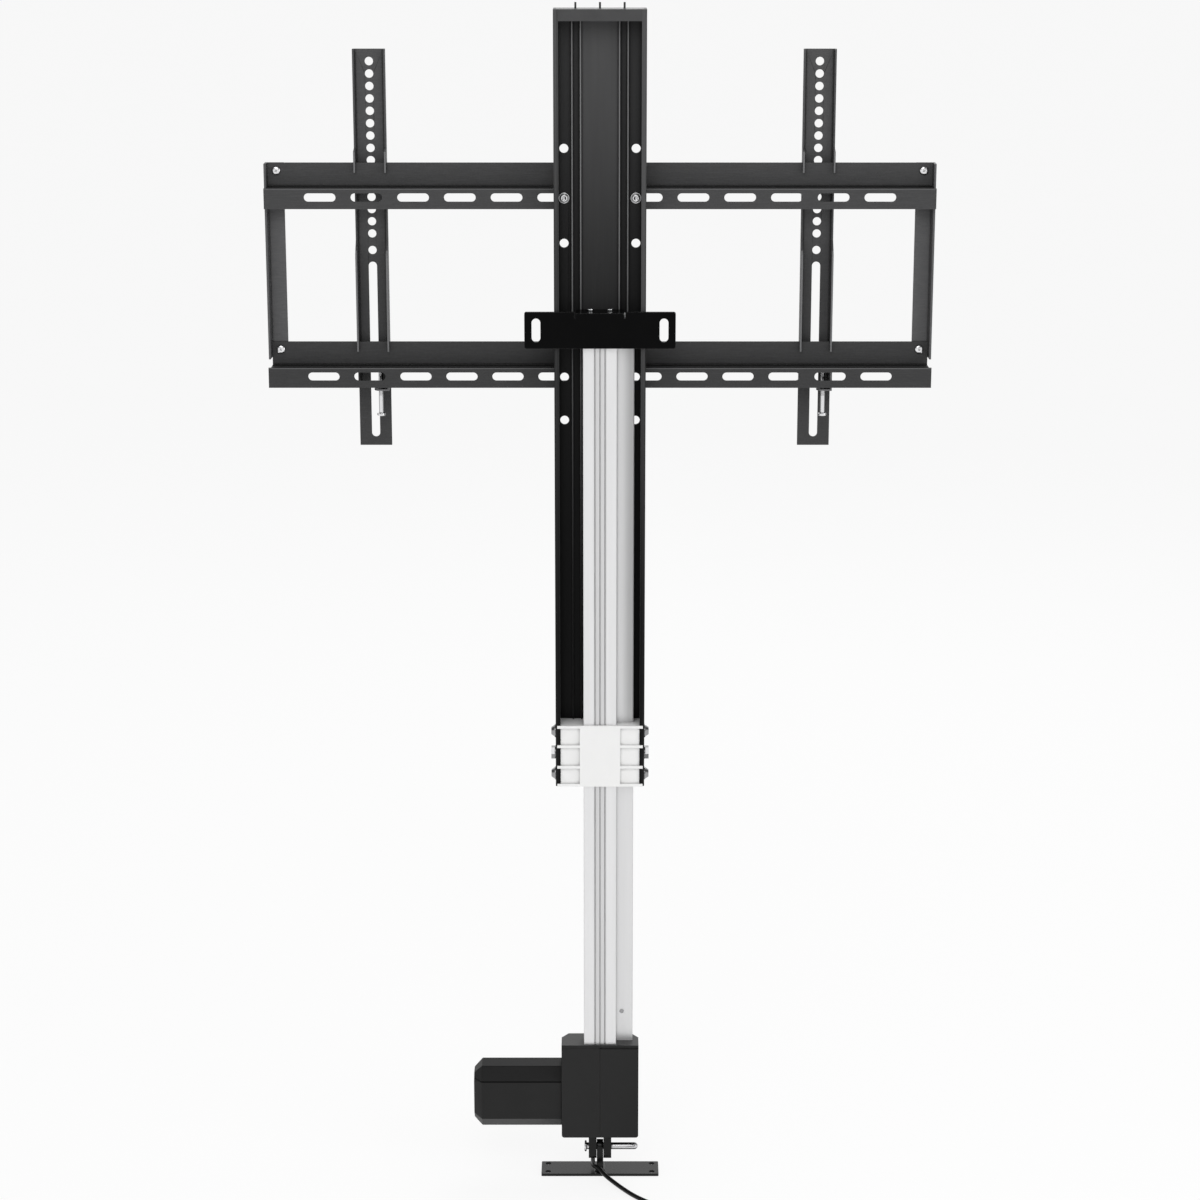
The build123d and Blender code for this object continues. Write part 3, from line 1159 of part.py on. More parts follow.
# The lead's run from the gland to the coil, and its tail from the coil to the connector
for stretch_name, route in (("motor_lead", LEAD_ROUTE), ("motor_lead_tail", TAIL_ROUTE)):
    radii = corner_radii(route)
    print(stretch_name, "radii", [round(radius, 1) for radius in radii])
    with BuildPart() as stretch:
        with BuildLine() as stretch_line:
            FilletPolyline(*route, radius=radii)
        with BuildSketch(Plane(origin=route[0], z_dir=Vector(*route[1]) - Vector(*route[0]))):
            Circle(LEAD_RADIUS)
        sweep(path=stretch_line.wire())
    stretch.part.label = stretch_name
    export_step(stretch.part, f"parts/{stretch_name}.step")
    report(stretch_name, stretch.part, stretch_line.wire())

# The coil: half turns that spiral in on the floor, climb a layer, and spiral out again on top
coil_start = Vector(*LEAD_ROUTE[-1])
coil_heading = Vector(0, -1, 0)
coil_x = coil_start.X - COIL_OUTER_RADIUS
coil_y = coil_start.Y - 2 * LEAD_RADIUS
steps = [-1] * COIL_HALF_TURNS_IN + [0] + [1] * COIL_HALF_TURNS_OUT


def coil_points():
    """The coil's points on its left and right sides, half a turn apart."""
    side, radius, height = 1, COIL_OUTER_RADIUS, coil_start.Z
    points = [Vector(coil_x + radius, coil_y, height)]
    for step in steps:
        side = -side
        radius = radius + step * COIL_PITCH / 2
        if step == 0:
            height = height + COIL_LAYER
        points.append(Vector(coil_x + side * radius, coil_y, height))
    return points


def least_gap(wire):
    """The least gap of a coiled tube to itself, measured on points along it."""
    points = [wire.position_at(n / COIL_SAMPLES) for n in range(COIL_SAMPLES + 1)]
    apart = math.ceil(COIL_SAME_PLACE * COIL_SAMPLES / wire.length)
    nearest = min(
        (points[i] - points[j]).length
        for i in range(COIL_SAMPLES + 1)
        for j in range(i + apart, COIL_SAMPLES + 1)
    )
    return nearest - 2 * LEAD_RADIUS


with BuildPart() as motor_lead_coil:
    turns = coil_points()
    with BuildLine() as coil_line:
        Line(coil_start, turns[0])
        heading = coil_heading
        for here, there in zip(turns, turns[1:]):
            half_way = (here + there) / 2 + heading * ((there - here).length / 2)
            ThreePointArc(here, half_way, there)
            heading = -heading
        Line(turns[-1], turns[-1] + heading * (2 * LEAD_RADIUS))
    with BuildSketch(Plane(origin=coil_start, z_dir=coil_heading)):
        Circle(LEAD_RADIUS)
    sweep(path=coil_line.wire())
motor_lead_coil.part.label = "motor_lead_coil"
export_step(motor_lead_coil.part, "parts/motor_lead_coil.step")
report("motor_lead_coil", motor_lead_coil.part, coil_line.wire())
coil_end = turns[-1] + heading * (2 * LEAD_RADIUS)
print(f"coil ends at {coil_end}, least gap {least_gap(coil_line.wire()):.2f} mm")

# Connector at the lead's end, lying on the floor
with BuildPart() as lead_connector:
    tail_end = Vector(*TAIL_ROUTE[-1])
    tail_heading = (tail_end - Vector(*TAIL_ROUTE[-2])).normalized()
    neck = Plane(origin=tail_end, z_dir=tail_heading)
    with BuildSketch(neck):
        Circle(CONNECTOR_NECK_RADIUS)
    with BuildSketch(neck.offset(CONNECTOR_NECK)):
        Circle((CONNECTOR_NECK_RADIUS + CONNECTOR_RADIUS) / 2)
    loft()
    rod(neck.offset(CONNECTOR_NECK), CONNECTOR_RADIUS, CONNECTOR_LENGTH)
lead_connector.part.label = "lead_connector"
export_step(lead_connector.part, "parts/lead_connector.step")
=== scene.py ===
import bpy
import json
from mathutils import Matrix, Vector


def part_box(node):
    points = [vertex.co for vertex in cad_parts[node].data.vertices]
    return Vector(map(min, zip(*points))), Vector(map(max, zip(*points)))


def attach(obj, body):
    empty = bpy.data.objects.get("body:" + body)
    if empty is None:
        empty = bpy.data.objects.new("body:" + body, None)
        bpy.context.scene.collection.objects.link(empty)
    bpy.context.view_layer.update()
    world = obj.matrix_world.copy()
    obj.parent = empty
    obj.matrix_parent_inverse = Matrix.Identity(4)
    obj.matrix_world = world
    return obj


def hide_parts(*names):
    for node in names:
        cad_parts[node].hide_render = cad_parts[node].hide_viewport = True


bl_info = {
    "name": "TV Lift Dressing",
    "version": (1, 0, 0),
    "blender": (4, 5, 0),
    "location": "View3D > Sidebar > TV Lift",
    "description": "Finishes, motor lead and small hardware of a cabinet TV lift, with a studio stage",
    "category": "Object",
}

import json
import math

import bmesh
import bpy
from mathutils import Matrix, Vector

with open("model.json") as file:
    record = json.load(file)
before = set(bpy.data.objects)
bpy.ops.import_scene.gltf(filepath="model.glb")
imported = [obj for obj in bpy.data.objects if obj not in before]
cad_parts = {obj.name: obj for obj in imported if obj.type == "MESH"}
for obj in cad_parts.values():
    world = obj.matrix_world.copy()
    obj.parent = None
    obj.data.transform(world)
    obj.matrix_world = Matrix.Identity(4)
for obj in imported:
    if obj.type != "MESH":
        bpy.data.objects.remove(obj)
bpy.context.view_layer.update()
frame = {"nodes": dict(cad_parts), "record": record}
MM = 0.001

# The motor lead's route in millimetres, from the gland to the coil and from the coil to the connector
LEAD_ROUTE = (
    (-8, 15.5, 44), (-8, 15.5, 30), (-8.2, 13.2, 15.5), (-8.2, 4, 10.6), (-8.3, -11.3, 11),
    (-1.2, -18.6, 11.4), (5, -28.2, 7.2), (23, -50, 2.6), (41, -76, 2.6), (65, -98, 2.6),
    (89, -118, 2.6), (100, -134, 2.6), (100, -145, 2.6),
)
TAIL_ROUTE = ((103.3, -167, 8.2), (99, -183, 6.6), (87, -196, 6), (71, -201, 6))
LEAD_EXIT = (-8, 15.5, 44)
COIL_CENTRE = (64, -150)
COIL_RADIUS = 36
COIL_PITCH = 6.6
COIL_LAYER = 5.7
COIL_FLOOR = 2.6
COIL_STEPS = (-1,) * 5 + (0,) + (1,) * 6
COIL_POINTS = 7    # control points in half a turn
PROFILE_MIDDLE_Y = -1.75
GLAND_TOP = 49
COLUMN_WALL = 3
PIN_RADIUS = 4
LOCK_SCREW_RADIUS = 2.5
FRAME_SCREW_HEAD_RADIUS, FRAME_SCREW_HEAD = 4.65, 2.8
TONGUE = (7.4, 16, 3)    # thickness, depth and foot of the welded tongue

# Places that the finishes follow, in metres. Four values are a band: it starts between the first two and
# ends between the last two.
MOTOR_LINE = (0.0148, 0.0142, 0.0136, 0.013)    # under the motor cover's top: a dark line of painted shade below its upper facet
MOTOR_FACET = (0.0137, 0.0127)    # under its top: the foot of its upper facet, where the painted light steps from the front's to the facet's
MOTOR_CROWN = (0.0005, 0.0001)    # under its top: the flat top, painted dark as shade
MOTOR_CHAMFER = (0.0138, 0.0132)    # over its underside: its lower chamfer, painted lighter as a reflection
HOUSING_LINE = (0.0046, 0.0036, 0.003, 0.0022)    # under the gearbox housing's top: its dark line, painted shade that lies over a real groove on the right half
HOUSING_SEAM = 0.001    # each side of the housing's seam
LEDGE_MIDDLE = (0.005, 0.008, 0.0125, 0.0145)    # behind a rail's front: the lit part of its ledge
RAIL_LOWER_FLANGE = 0.022    # from a rail's underside to its crease
RAIL_CREASE = (-0.0016, -0.001, 0, 0.0002)    # about that crease: the lit edge
HOOK_DEPTH = (0.0185, 0.018)    # behind a rail's front: the arms' hooks, whose sides are painted as shade and fronts as highlights
COLUMN_BACK = (0.0012, 0.0024)    # before the column's back: its outer face
COLUMN_FLOORS = (0.02, 0.0212, 0.0455, 0.0465)    # from the column's middle: the floors beside its centre, painted darker as shade
FIN_CRESTS = (0.0073, 0.007, 0.0055, 0.0045)    # before the column's back: the crests of its fins, painted as highlights
LIP_FACE = (0.0004, 0.0001)    # behind the column's front: the faces of its lips, painted as highlights
DUCT_START = (0.019, 0.0186)    # from the guide profile's right side: its duct
DUCT_SHADE = (0.0165, 0.003)    # from that side: where the column's shade grows
DUCT_SHADE_HEIGHT = (0.5, 0.57)    # over the floor: where it starts
PROFILE_GROOVES = (0.0075, 0.0065)    # from the profile's middle: its grooved strip

# The photograph's view: metres, degrees up from straight down, and millimetres
CAMERA_PLACE = (0, -3.095, 1.4906)
CAMERA_TILT = 75.4
CAMERA_LENS, CAMERA_SENSOR = 87, 36
FLOOR_SIZE = 60
FLOOR_DROP = 0.0002    # keeps the floor just under the foot plate


class Wire:
    """A node's output socket. Sums on it add Math nodes."""

    def __init__(self, recipe, socket):
        self.recipe, self.socket = recipe, socket

    def combine(self, operation, first, second):
        return self.recipe.node("ShaderNodeMath", {"operation": operation}, {0: first, 1: second})

    def __add__(self, other):
        return self.combine("ADD", self, other)

    def __sub__(self, other):
        return self.combine("SUBTRACT", self, other)

    def __rsub__(self, other):
        return self.combine("SUBTRACT", other, self)

    def __mul__(self, other):
        return self.combine("MULTIPLY", self, other)

    def __truediv__(self, other):
        return self.combine("DIVIDE", self, other)

    def __abs__(self):
        return self.combine("ABSOLUTE", self, 0)

    __radd__ = __add__
    __rmul__ = __mul__


class Recipe:
    """Builds a node tree step by step."""

    def __init__(self, tree):
        self.tree = tree
        tree.nodes.clear()
        self.places = None

    def node(self, kind, settings=None, sockets=None, output=0):
        made = self.tree.nodes.new(kind)
        for setting, value in (settings or {}).items():
            setattr(made, setting, value)
        for key, value in (sockets or {}).items():
            if isinstance(value, Wire):
                self.tree.links.new(value.socket, made.inputs[key])
            else:
                made.inputs[key].default_value = value
        return Wire(self, made.outputs[output]) if len(made.outputs) else None

    def coordinates(self, stretch=(1, 1, 1)):
        if self.places is None:
            self.places = self.node("ShaderNodeTexCoord", output="Object")
        if stretch == (1, 1, 1):
            return self.places
        return self.node("ShaderNodeMapping", None, {"Vector": self.places, "Scale": stretch})

    def noise(self, size_mm, detail=2, stretch=(1, 1, 1)):
        """Noise with features of about that size, from 0 to 1."""
        sockets = {"Vector": self.coordinates(stretch), "Scale": 1 / (size_mm * MM), "Detail": detail}
        return self.node("ShaderNodeTexNoise", None, sockets)

    def span(self, value, low, high, to_low=0, to_high=1):
        """The value stretched from one span to another, and held inside it."""
        sockets = {"Value": value, 1: low, 2: high, 3: to_low, 4: to_high}
        return self.node("ShaderNodeMapRange", {"interpolation_type": "SMOOTHSTEP"}, sockets)

    def band(self, value, start, full, fading, end):
        """1 between full and fading, 0 outside start and end."""
        return self.span(value, start, full) * self.span(value, end, fading)

    def mix(self, factor, first, second):
        return self.node("ShaderNodeMix", {"data_type": "RGBA"}, {0: factor, 6: first, 7: second}, 2)

    def bump(self, height, distance_mm, strength=1, below=None):
        sockets = {"Height": height, "Distance": distance_mm * MM, "Strength": strength}
        if below is not None:
            sockets["Normal"] = below
        return self.node("ShaderNodeBump", None, sockets)

    def times(self, color, factor):
        return self.node("ShaderNodeVectorMath", {"operation": "SCALE"}, {0: color, 3: factor})

    def open_air(self, reach_mm, low=0.4, high=0.85, alone=True):
        """1 where the surface stands clear, 0 deep in corners, slots and holes: the piece's own, or any."""
        settings = {"samples": 8, "only_local": alone}
        return self.span(
            self.node("ShaderNodeAmbientOcclusion", settings, {"Distance": reach_mm * MM}, 1), low, high,
        )

    def rounded(self, radius_mm):
        """The normal, turned over the piece's edges as if they were rounded."""
        return self.node("ShaderNodeBevel", {"samples": 4}, {"Radius": radius_mm * MM})

    def place(self):
        """The point's own x, y and z in metres."""
        parts = self.node("ShaderNodeSeparateXYZ", None, {0: self.coordinates()})
        return [Wire(self, socket) for socket in parts.socket.node.outputs]

    def facing(self, axis):
        """How far the surface faces along an axis, either way: 0 to 1."""
        normal = self.node("ShaderNodeNewGeometry", output="Normal")
        parts = self.node("ShaderNodeSeparateXYZ", None, {0: normal})
        return abs(Wire(self, parts.socket.node.outputs[axis]))

    def edges(self, radius_mm):
        """1 on the piece's outer edges and corners, 0 on its faces and in its inner corners."""
        flat = self.node("ShaderNodeNewGeometry", output="Normal")
        sockets = {0: self.rounded(radius_mm), 1: flat}
        agree = self.node("ShaderNodeVectorMath", {"operation": "DOT_PRODUCT"}, sockets, 1)
        return self.span(1 - agree, 0.006, 0.15) * self.open_air(2 * radius_mm, 0.6, 0.8)

    def surface(self, color, roughness, normal=None, **constants):
        sockets = {"Base Color": color, "Roughness": roughness}
        if normal is not None:
            sockets["Normal"] = normal
        for key, value in constants.items():
            sockets[key.replace("_", " ")] = value
        shader = self.node("ShaderNodeBsdfPrincipled", None, sockets)
        self.node("ShaderNodeOutputMaterial", None, {"Surface": shader})


def shade(color, factor=1):
    """A colour times a factor, with its alpha."""
    return (*(min(1, part * factor) for part in color[:3]), 1)


def moulded_plastic(recipe, color, motor=False):
    grain = recipe.noise(0.45, 3)
    cloud = recipe.noise(35, 2)
    painted_edge_highlight = recipe.edges(0.7)
    tone = recipe.mix(cloud, shade(color, 0.85), shade(color, 1.15))
    # painted shade: darker in corners, slots and holes
    tone = recipe.mix(recipe.open_air(4), shade(color, 0.25), tone)
    # painted highlight: the outer edges lighter
    tone = recipe.mix(painted_edge_highlight * 0.6, tone, shade(color, 6))
    x, _, z = recipe.place()
    if motor:
        # painted light and shade on the motor cover: a dark line below its upper facet, the front and facet
        # lighter, the flat top darker, and the lower chamfer lighter as a reflection
        bottom, top = (corner[2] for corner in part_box("motor_cover"))
        line = recipe.band(z, *(top - drop for drop in MOTOR_LINE))
        tone = recipe.times(tone, recipe.span(z, *(top - drop for drop in MOTOR_FACET), 2.6, 2.1))
        tone = recipe.times(tone, recipe.span(z, *(top - drop for drop in MOTOR_CROWN), 1, 0.1))
        tone = recipe.times(tone, recipe.span(z, *(bottom + rise for rise in MOTOR_CHAMFER), 1, 2.5))
    else:
        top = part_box("gearbox_housing_right")[1][2]
        # painted shade: a dark line under the top edge, fainter on the left half; on the right half it lies over
        # a real groove
        line = recipe.band(z, *(top - drop for drop in HOUSING_LINE))
        line = line * recipe.span(x, -HOUSING_SEAM, HOUSING_SEAM, 0.6, 1)
        # painted light: faces that look up much lighter
        tone = recipe.times(tone, recipe.span(recipe.facing(2), 0.9, 0.98, 1, 4.5))
    # the dark line of painted shade
    tone = recipe.mix(line, tone, shade(color, 0.02))
    roughness = recipe.span(grain, 0.2, 0.8, 0.4, 0.54)
    normal = recipe.bump(1 - line, 0.9, 1, recipe.bump(grain, 0.05, 0.45, recipe.rounded(0.9)))
    recipe.surface(tone, roughness, normal, Specular_IOR_Level=0.12 if motor else 0.33)


def satin_plastic(recipe, color):
    grain = recipe.noise(0.3, 2)
    tone = recipe.mix(recipe.noise(12), shade(color, 0.8), shade(color, 1.2))
    recipe.surface(tone, recipe.span(grain, 0, 1, 0.32, 0.44), recipe.bump(grain, 0.02, 0.4))


def moulded_nylon(recipe, color):
    flow = recipe.noise(14, 3, (1, 1, 0.35))
    grain = recipe.noise(0.5, 2)
    tone = recipe.mix(flow, shade(color, 0.975), shade(color, 1.0))
    tone = recipe.mix(recipe.span(recipe.noise(55), 0.55, 0.8) * 0.15, tone, shade((0.84, 0.83, 0.8)))
    # painted shade: darker in the piece's own corners and pockets, and where other pieces stand close
    tone = recipe.mix(recipe.open_air(5, 0.35, 0.8), shade(color, 0.72), tone)
    tone = recipe.mix(recipe.open_air(22, 0.2, 0.65, False), shade(color, 0.6), tone)
    normal = recipe.bump(grain, 0.02, 0.3, recipe.bump(flow, 0.05, 0.2))
    recipe.surface(
        tone, recipe.span(flow, 0.2, 0.8, 0.36, 0.48), normal,
        Subsurface_Weight=0.12, Subsurface_Radius=(0.004, 0.004, 0.004),
    )


def soft_jacket(recipe, color):
    grain = recipe.noise(0.25, 2)
    dull = recipe.noise(9, 3)
    tone = recipe.mix(dull, shade(color, 0.7), shade(color, 1.6))
    roughness = recipe.span(dull, 0.2, 0.8, 0.22, 0.34)
    recipe.surface(tone, roughness, recipe.bump(grain, 0.008, 0.3), Specular_IOR_Level=0.25)


def sprayed_paint(recipe, color):
    peel = recipe.noise(1.6, 2)
    fine = recipe.noise(0.25, 2)
    painted_edge_highlight = recipe.edges(0.45)
    tone = recipe.mix(recipe.noise(22, 3), shade(color, 0.9), shade(color, 1.1))
    # painted shade: darker where the floor or other pieces stand close
    tone = recipe.mix(recipe.open_air(10, 0.35, 0.8, False), shade(color, 0.1), tone)
    # painted shade: faces that look forwards or back much darker
    tone = recipe.mix(recipe.span(recipe.facing(1), 0.75, 0.95), tone, shade(color, 0.1))
    # painted highlight: lighter along the outer edges
    tone = recipe.mix(painted_edge_highlight * 0.25, tone, shade((0.06, 0.06, 0.06)))
    normal = recipe.bump(fine, 0.002, 0.15, recipe.bump(peel, 0.01, 0.25, recipe.rounded(0.8)))
    recipe.surface(tone, recipe.span(peel, 0.1, 0.9, 0.2, 0.28), normal, Specular_IOR_Level=0.27)


def gloss_paint(recipe, color):
    peel = recipe.noise(2.4, 2)
    tone = recipe.mix(recipe.noise(18, 3), shade(color, 0.8), shade(color, 1.3))
    # painted highlight: lighter along the outer edges
    tone = recipe.mix(recipe.edges(0.5) * 0.6, tone, shade((0.12, 0.12, 0.12)))
    recipe.surface(
        tone, recipe.span(peel, 0.1, 0.9, 0.16, 0.24), recipe.bump(peel, 0.02, 0.3), Specular_IOR_Level=0.04,
    )


def powder_coat(recipe, color, foot=0.8, crown=1.1, low=0.93, high=1.1, kind="rail"):
    sand = recipe.noise(0.55, 3)
    speck = recipe.node(
        "ShaderNodeTexVoronoi", {"feature": "F1"},
        {"Vector": recipe.coordinates(), "Scale": 1 / (1.1 * MM)},
    )
    brushed = recipe.noise(0.8, 3, (0.06, 1, 1))
    painted_edge_highlight = recipe.edges(0.5)
    tone = recipe.mix(recipe.span(sand, 0.3, 0.7), shade(color, 0.7), shade(color, 1.25))
    tone = recipe.mix(recipe.span(brushed, 0.4, 0.75) * 0.5, tone, shade(color, 1.5))
    tone = recipe.mix(recipe.noise(45, 2) * 0.25, tone, shade(color, 1.3))
    # painted shade: near black in creases and inner corners
    tone = recipe.mix(recipe.open_air(6, 0.6, 0.75), shade(color, 0.04), tone)
    # painted highlight: lighter along the outer edges
    tone = recipe.mix(painted_edge_highlight * 0.5, tone, shade(color, 2.6))
    _, y, z = recipe.place()
    # painted light: lighter with height, from foot at the low height to crown at the high one
    tone = recipe.times(tone, recipe.span(z, low, high, foot, crown))
    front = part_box("top_rail")[0][1]
    if kind == "rail":
        # painted shade: the ledge's upward faces near black, except a middle strip painted as lit
        ledge = recipe.span(recipe.facing(2), 0.5, 0.8)
        middle = recipe.band(y, *(front + depth for depth in LEDGE_MIDDLE))
        tone = recipe.mix(ledge * (1 - middle), tone, shade(color, 0.04))
        tone = recipe.mix(ledge * middle, tone, shade(color, 0.9))
        # painted highlight: the front faces lighter along each rail's crease
        for rail in ("top_rail", "bottom_rail"):
            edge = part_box(rail)[0][2] + RAIL_LOWER_FLANGE
            lit = recipe.band(z, *(edge + rise for rise in RAIL_CREASE))
            tone = recipe.mix(lit * recipe.span(recipe.facing(1), 0.4, 0.7), tone, shade(color, 2.2))
    if kind == "arm":
        # painted shade and highlight on the arms' hooks: their sides near black, their fronts lighter
        before = recipe.span(y, *(front + depth for depth in HOOK_DEPTH))
        tone = recipe.mix(before * recipe.span(recipe.facing(0), 0.5, 0.8), tone, shade(color, 0.05))
        tone = recipe.mix(before * recipe.span(recipe.facing(1), 0.5, 0.8), tone, shade(color, 3.6))
    normal = recipe.bump(sand, 0.1, 0.55, recipe.bump(speck, 0.05, 0.4))
    recipe.surface(tone, recipe.span(sand, 0.2, 0.8, 0.44, 0.62), normal, Specular_IOR_Level=0.3)


def black_anodised(recipe, color):
    draw = recipe.noise(0.35, 2, (1, 1, 0.006))
    band = recipe.noise(9, 2, (1, 1, 0.04))
    painted_edge_highlight = recipe.edges(0.6)
    (_, front, _), (_, back, top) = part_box("column_channel")
    x, y, z = recipe.place()
    # painted light: inside the channel lighter towards the top and near black low down; the outer face held
    # fairly light
    outside = 1 - recipe.span(y, *(back - depth for depth in COLUMN_BACK))
    height = recipe.span(z, top - 0.7, top - 0.1)
    height = height.combine("MAXIMUM", height, outside * 0.7)
    tone = recipe.mix(height, shade(color, 0.12), shade(color, 1.1))
    # painted light: lighter still near the top
    tone = recipe.mix(recipe.span(z, top - 0.3, top - 0.03), tone, shade(color, 3))
    tone = recipe.mix(band * 0.4, tone, shade(color, 0.8))
    tone = recipe.mix(recipe.span(draw, 0.5, 0.8) * 0.25, tone, shade(color, 1.9))
    # painted shade: darker in corners and in the channel's floors
    tone = recipe.mix(recipe.open_air(14, 0.45, 0.8), shade(color, 0.1), tone)
    # painted shade: the floors beside the centre darker
    tone = recipe.times(tone, 1 - recipe.band(abs(x), *COLUMN_FLOORS) * 0.45)
    crest = recipe.band(y, *(back - depth for depth in FIN_CRESTS))
    lip = recipe.span(y, *(front + depth for depth in LIP_FACE))
    # painted highlights on the fins' crests and the lips' faces, those on the right lighter
    tone = recipe.mix(crest * height * 0.9, tone, shade(color, 7))
    tone = recipe.mix(lip * height * recipe.span(x, -0.01, 0.01, 0.35, 1), tone, shade(color, 2.6))
    # painted highlight: lighter along the outer edges
    tone = recipe.mix(painted_edge_highlight * 0.5, tone, shade((0.2, 0.2, 0.205)))
    roughness = recipe.span(draw, 0.2, 0.8, 0.3, 0.46)
    normal = recipe.bump(draw, 0.015, 0.4, recipe.rounded(0.7))
    recipe.surface(tone, roughness, normal, Specular_IOR_Level=0.08)


def clear_anodised(recipe, color):
    draw = recipe.noise(0.3, 3, (1, 1, 0.004))
    band = recipe.noise(7, 2, (1, 1, 0.03))
    tone = recipe.mix(band, shade(color, 0.93), shade(color, 1.03))
    tone = recipe.mix(recipe.span(draw, 0.62, 0.8) * 0.18, tone, shade(color, 0.75))
    # painted shade: darker in the grooves and corners
    tone = recipe.mix(recipe.open_air(6, 0.3, 0.7), shade(color, 0.45), tone)
    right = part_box("guide_profile")[1][0]
    x, _, z = recipe.place()
    # the duct a little darker, and darker still towards its right side and higher up: painted shade from the
    # column
    duct = recipe.span(x, *(right - depth for depth in DUCT_START))
    shadow = recipe.span(x, *(right - depth for depth in DUCT_SHADE)) * recipe.span(z, *DUCT_SHADE_HEIGHT)
    tone = recipe.times(tone, 1 - duct * (shadow * 0.36 + 0.07))
    tone = recipe.times(tone, 1 - 0.16 * recipe.span(abs(x), *PROFILE_GROOVES))
    roughness = recipe.span(draw, 0.2, 0.8, 0.28, 0.42)
    recipe.surface(tone, roughness, recipe.bump(draw, 0.012, 0.4, recipe.rounded(2.2)), Metallic=0.6)


def zinc_plate(recipe, color, outline=None):
    cloud = recipe.noise(3.5, 3)
    scratch = recipe.noise(0.2, 2, (1, 0.05, 0.3))
    tone = recipe.mix(cloud, shade(color, 0.84), shade(color, 1.05))
    tone = recipe.mix(recipe.span(recipe.noise(9), 0.6, 0.8) * 0.2, tone, shade(color, 0.95))
    # painted shade: near black in sockets, recesses and corners
    tone = recipe.mix(recipe.open_air(3, 0.3, 0.8), shade(color, 0.04), tone)
    # painted shade: faces that turn along the given axis darker, which draws dark sides round the piece
    if outline is not None:
        axis, clear, dark = outline
        tone = recipe.mix(recipe.span(recipe.facing(axis), clear, dark) * 0.85, tone, shade(color, 0.08))
    roughness = recipe.span(cloud, 0.2, 0.8, 0.14, 0.26)
    recipe.surface(tone, roughness, recipe.bump(scratch, 0.012, 0.4), Metallic=1.0)


def ground_steel(recipe, color):
    rings = recipe.noise(0.2, 2, (0.02, 0.02, 1))
    tone = recipe.mix(recipe.noise(6), shade(color, 0.85), shade(color, 1.15))
    roughness = recipe.span(rings, 0.2, 0.8, 0.2, 0.36)
    recipe.surface(tone, roughness, recipe.bump(rings, 0.02, 0.5), Metallic=1.0)


def blackened_steel(recipe, color):
    bloom = recipe.noise(2.5, 3)
    tone = recipe.mix(bloom, shade(color, 0.6), shade(color, 1.3))
    # painted highlight: lighter along the outer edges
    tone = recipe.mix(recipe.edges(0.2) * 0.5, tone, shade((0.35, 0.34, 0.33)))
    roughness = recipe.span(bloom, 0.2, 0.8, 0.3, 0.5)
    recipe.surface(tone, roughness, recipe.bump(bloom, 0.01, 0.4), Metallic=0.85)


def machined_bronze(recipe, color):
    turning = recipe.noise(0.25, 2, (1, 1, 0.2))
    tone = recipe.mix(recipe.noise(5, 3), shade(color, 0.75), shade(color, 1.15))
    roughness = recipe.span(turning, 0.2, 0.8, 0.24, 0.4)
    recipe.surface(tone, roughness, recipe.bump(turning, 0.02, 0.5), Metallic=1.0)


def weld_metal(recipe, color):
    scale = recipe.noise(0.8, 3)
    tone = recipe.mix(scale, shade(color, 0.6), shade(color, 2.2))
    roughness = recipe.span(scale, 0.2, 0.8, 0.26, 0.45)
    recipe.surface(tone, roughness, recipe.bump(scale, 0.12, 0.6), Coat_Weight=0.3)


def threaded_steel(recipe, color, pitch_mm=12.0, starts=4, centre=(0, 0, 0)):
    """Steel with a helical thread about an upright axis through the centre."""
    sockets = {0: recipe.coordinates(), 1: centre}
    place = recipe.node("ShaderNodeVectorMath", {"operation": "SUBTRACT"}, sockets)
    parts = recipe.node("ShaderNodeSeparateXYZ", None, {0: place})
    x, y, z = (Wire(recipe, socket) for socket in parts.socket.node.outputs)
    turn = x.combine("ARCTAN2", y, x) / math.tau
    wave = (z / (pitch_mm * MM) - turn) * starts
    crest = recipe.node("ShaderNodeMath", {"operation": "PINGPONG"}, {0: wave, 1: 0.5})
    crest = recipe.span(crest, 0.14, 0.34)
    # painted shade: the thread's roots darker than its crests
    tone = recipe.mix(crest, shade(color, 0.35), shade(color, 1.1))
    recipe.surface(tone, recipe.span(crest, 0, 1, 0.42, 0.24), recipe.bump(crest, 0.8, 0.9), Metallic=1.0)


FINISHES = {
    "housing_plastic": (moulded_plastic, (0.0078, 0.0078, 0.0078, 1)),
    "switch_plastic": (satin_plastic, (0.016, 0.016, 0.016, 1)),
    "white_nylon": (moulded_nylon, (0.88, 0.88, 0.875, 1)),
    "black_rubber": (soft_jacket, (0.006, 0.006, 0.006, 1)),
    "black_steel": (sprayed_paint, (0.01, 0.01, 0.0104, 1)),
    "gloss_black_steel": (gloss_paint, (0.0022, 0.0022, 0.0023, 1)),
    "frame_steel": (powder_coat, (0.042, 0.042, 0.043, 1)),
    "black_aluminium": (black_anodised, (0.03, 0.03, 0.0305, 1)),
    "clear_aluminium": (clear_anodised, (0.82, 0.82, 0.825, 1)),
    "zinc_steel": (zinc_plate, (0.72, 0.73, 0.74, 1)),
    "bright_steel": (ground_steel, (0.6, 0.6, 0.6, 1)),
    "dark_steel": (blackened_steel, (0.06, 0.06, 0.06, 1)),
    "bronze": (machined_bronze, (0.6, 0.42, 0.2, 1)),
}


def material(name, recipe_maker, color, *details):
    """A new material made by one of the finishes above, or the one already made under that name."""
    if name in bpy.data.materials:
        return bpy.data.materials[name]
    made = bpy.data.materials.new(name)
    made.use_nodes = True
    recipe_maker(Recipe(made.node_tree), color, *details)
    return made


def finish_of(slot):
    maker, _ = FINISHES[slot]
    return material(f"lift_{slot}", maker, tuple(getattr(bpy.context.scene.tv_lift_colours, slot)))


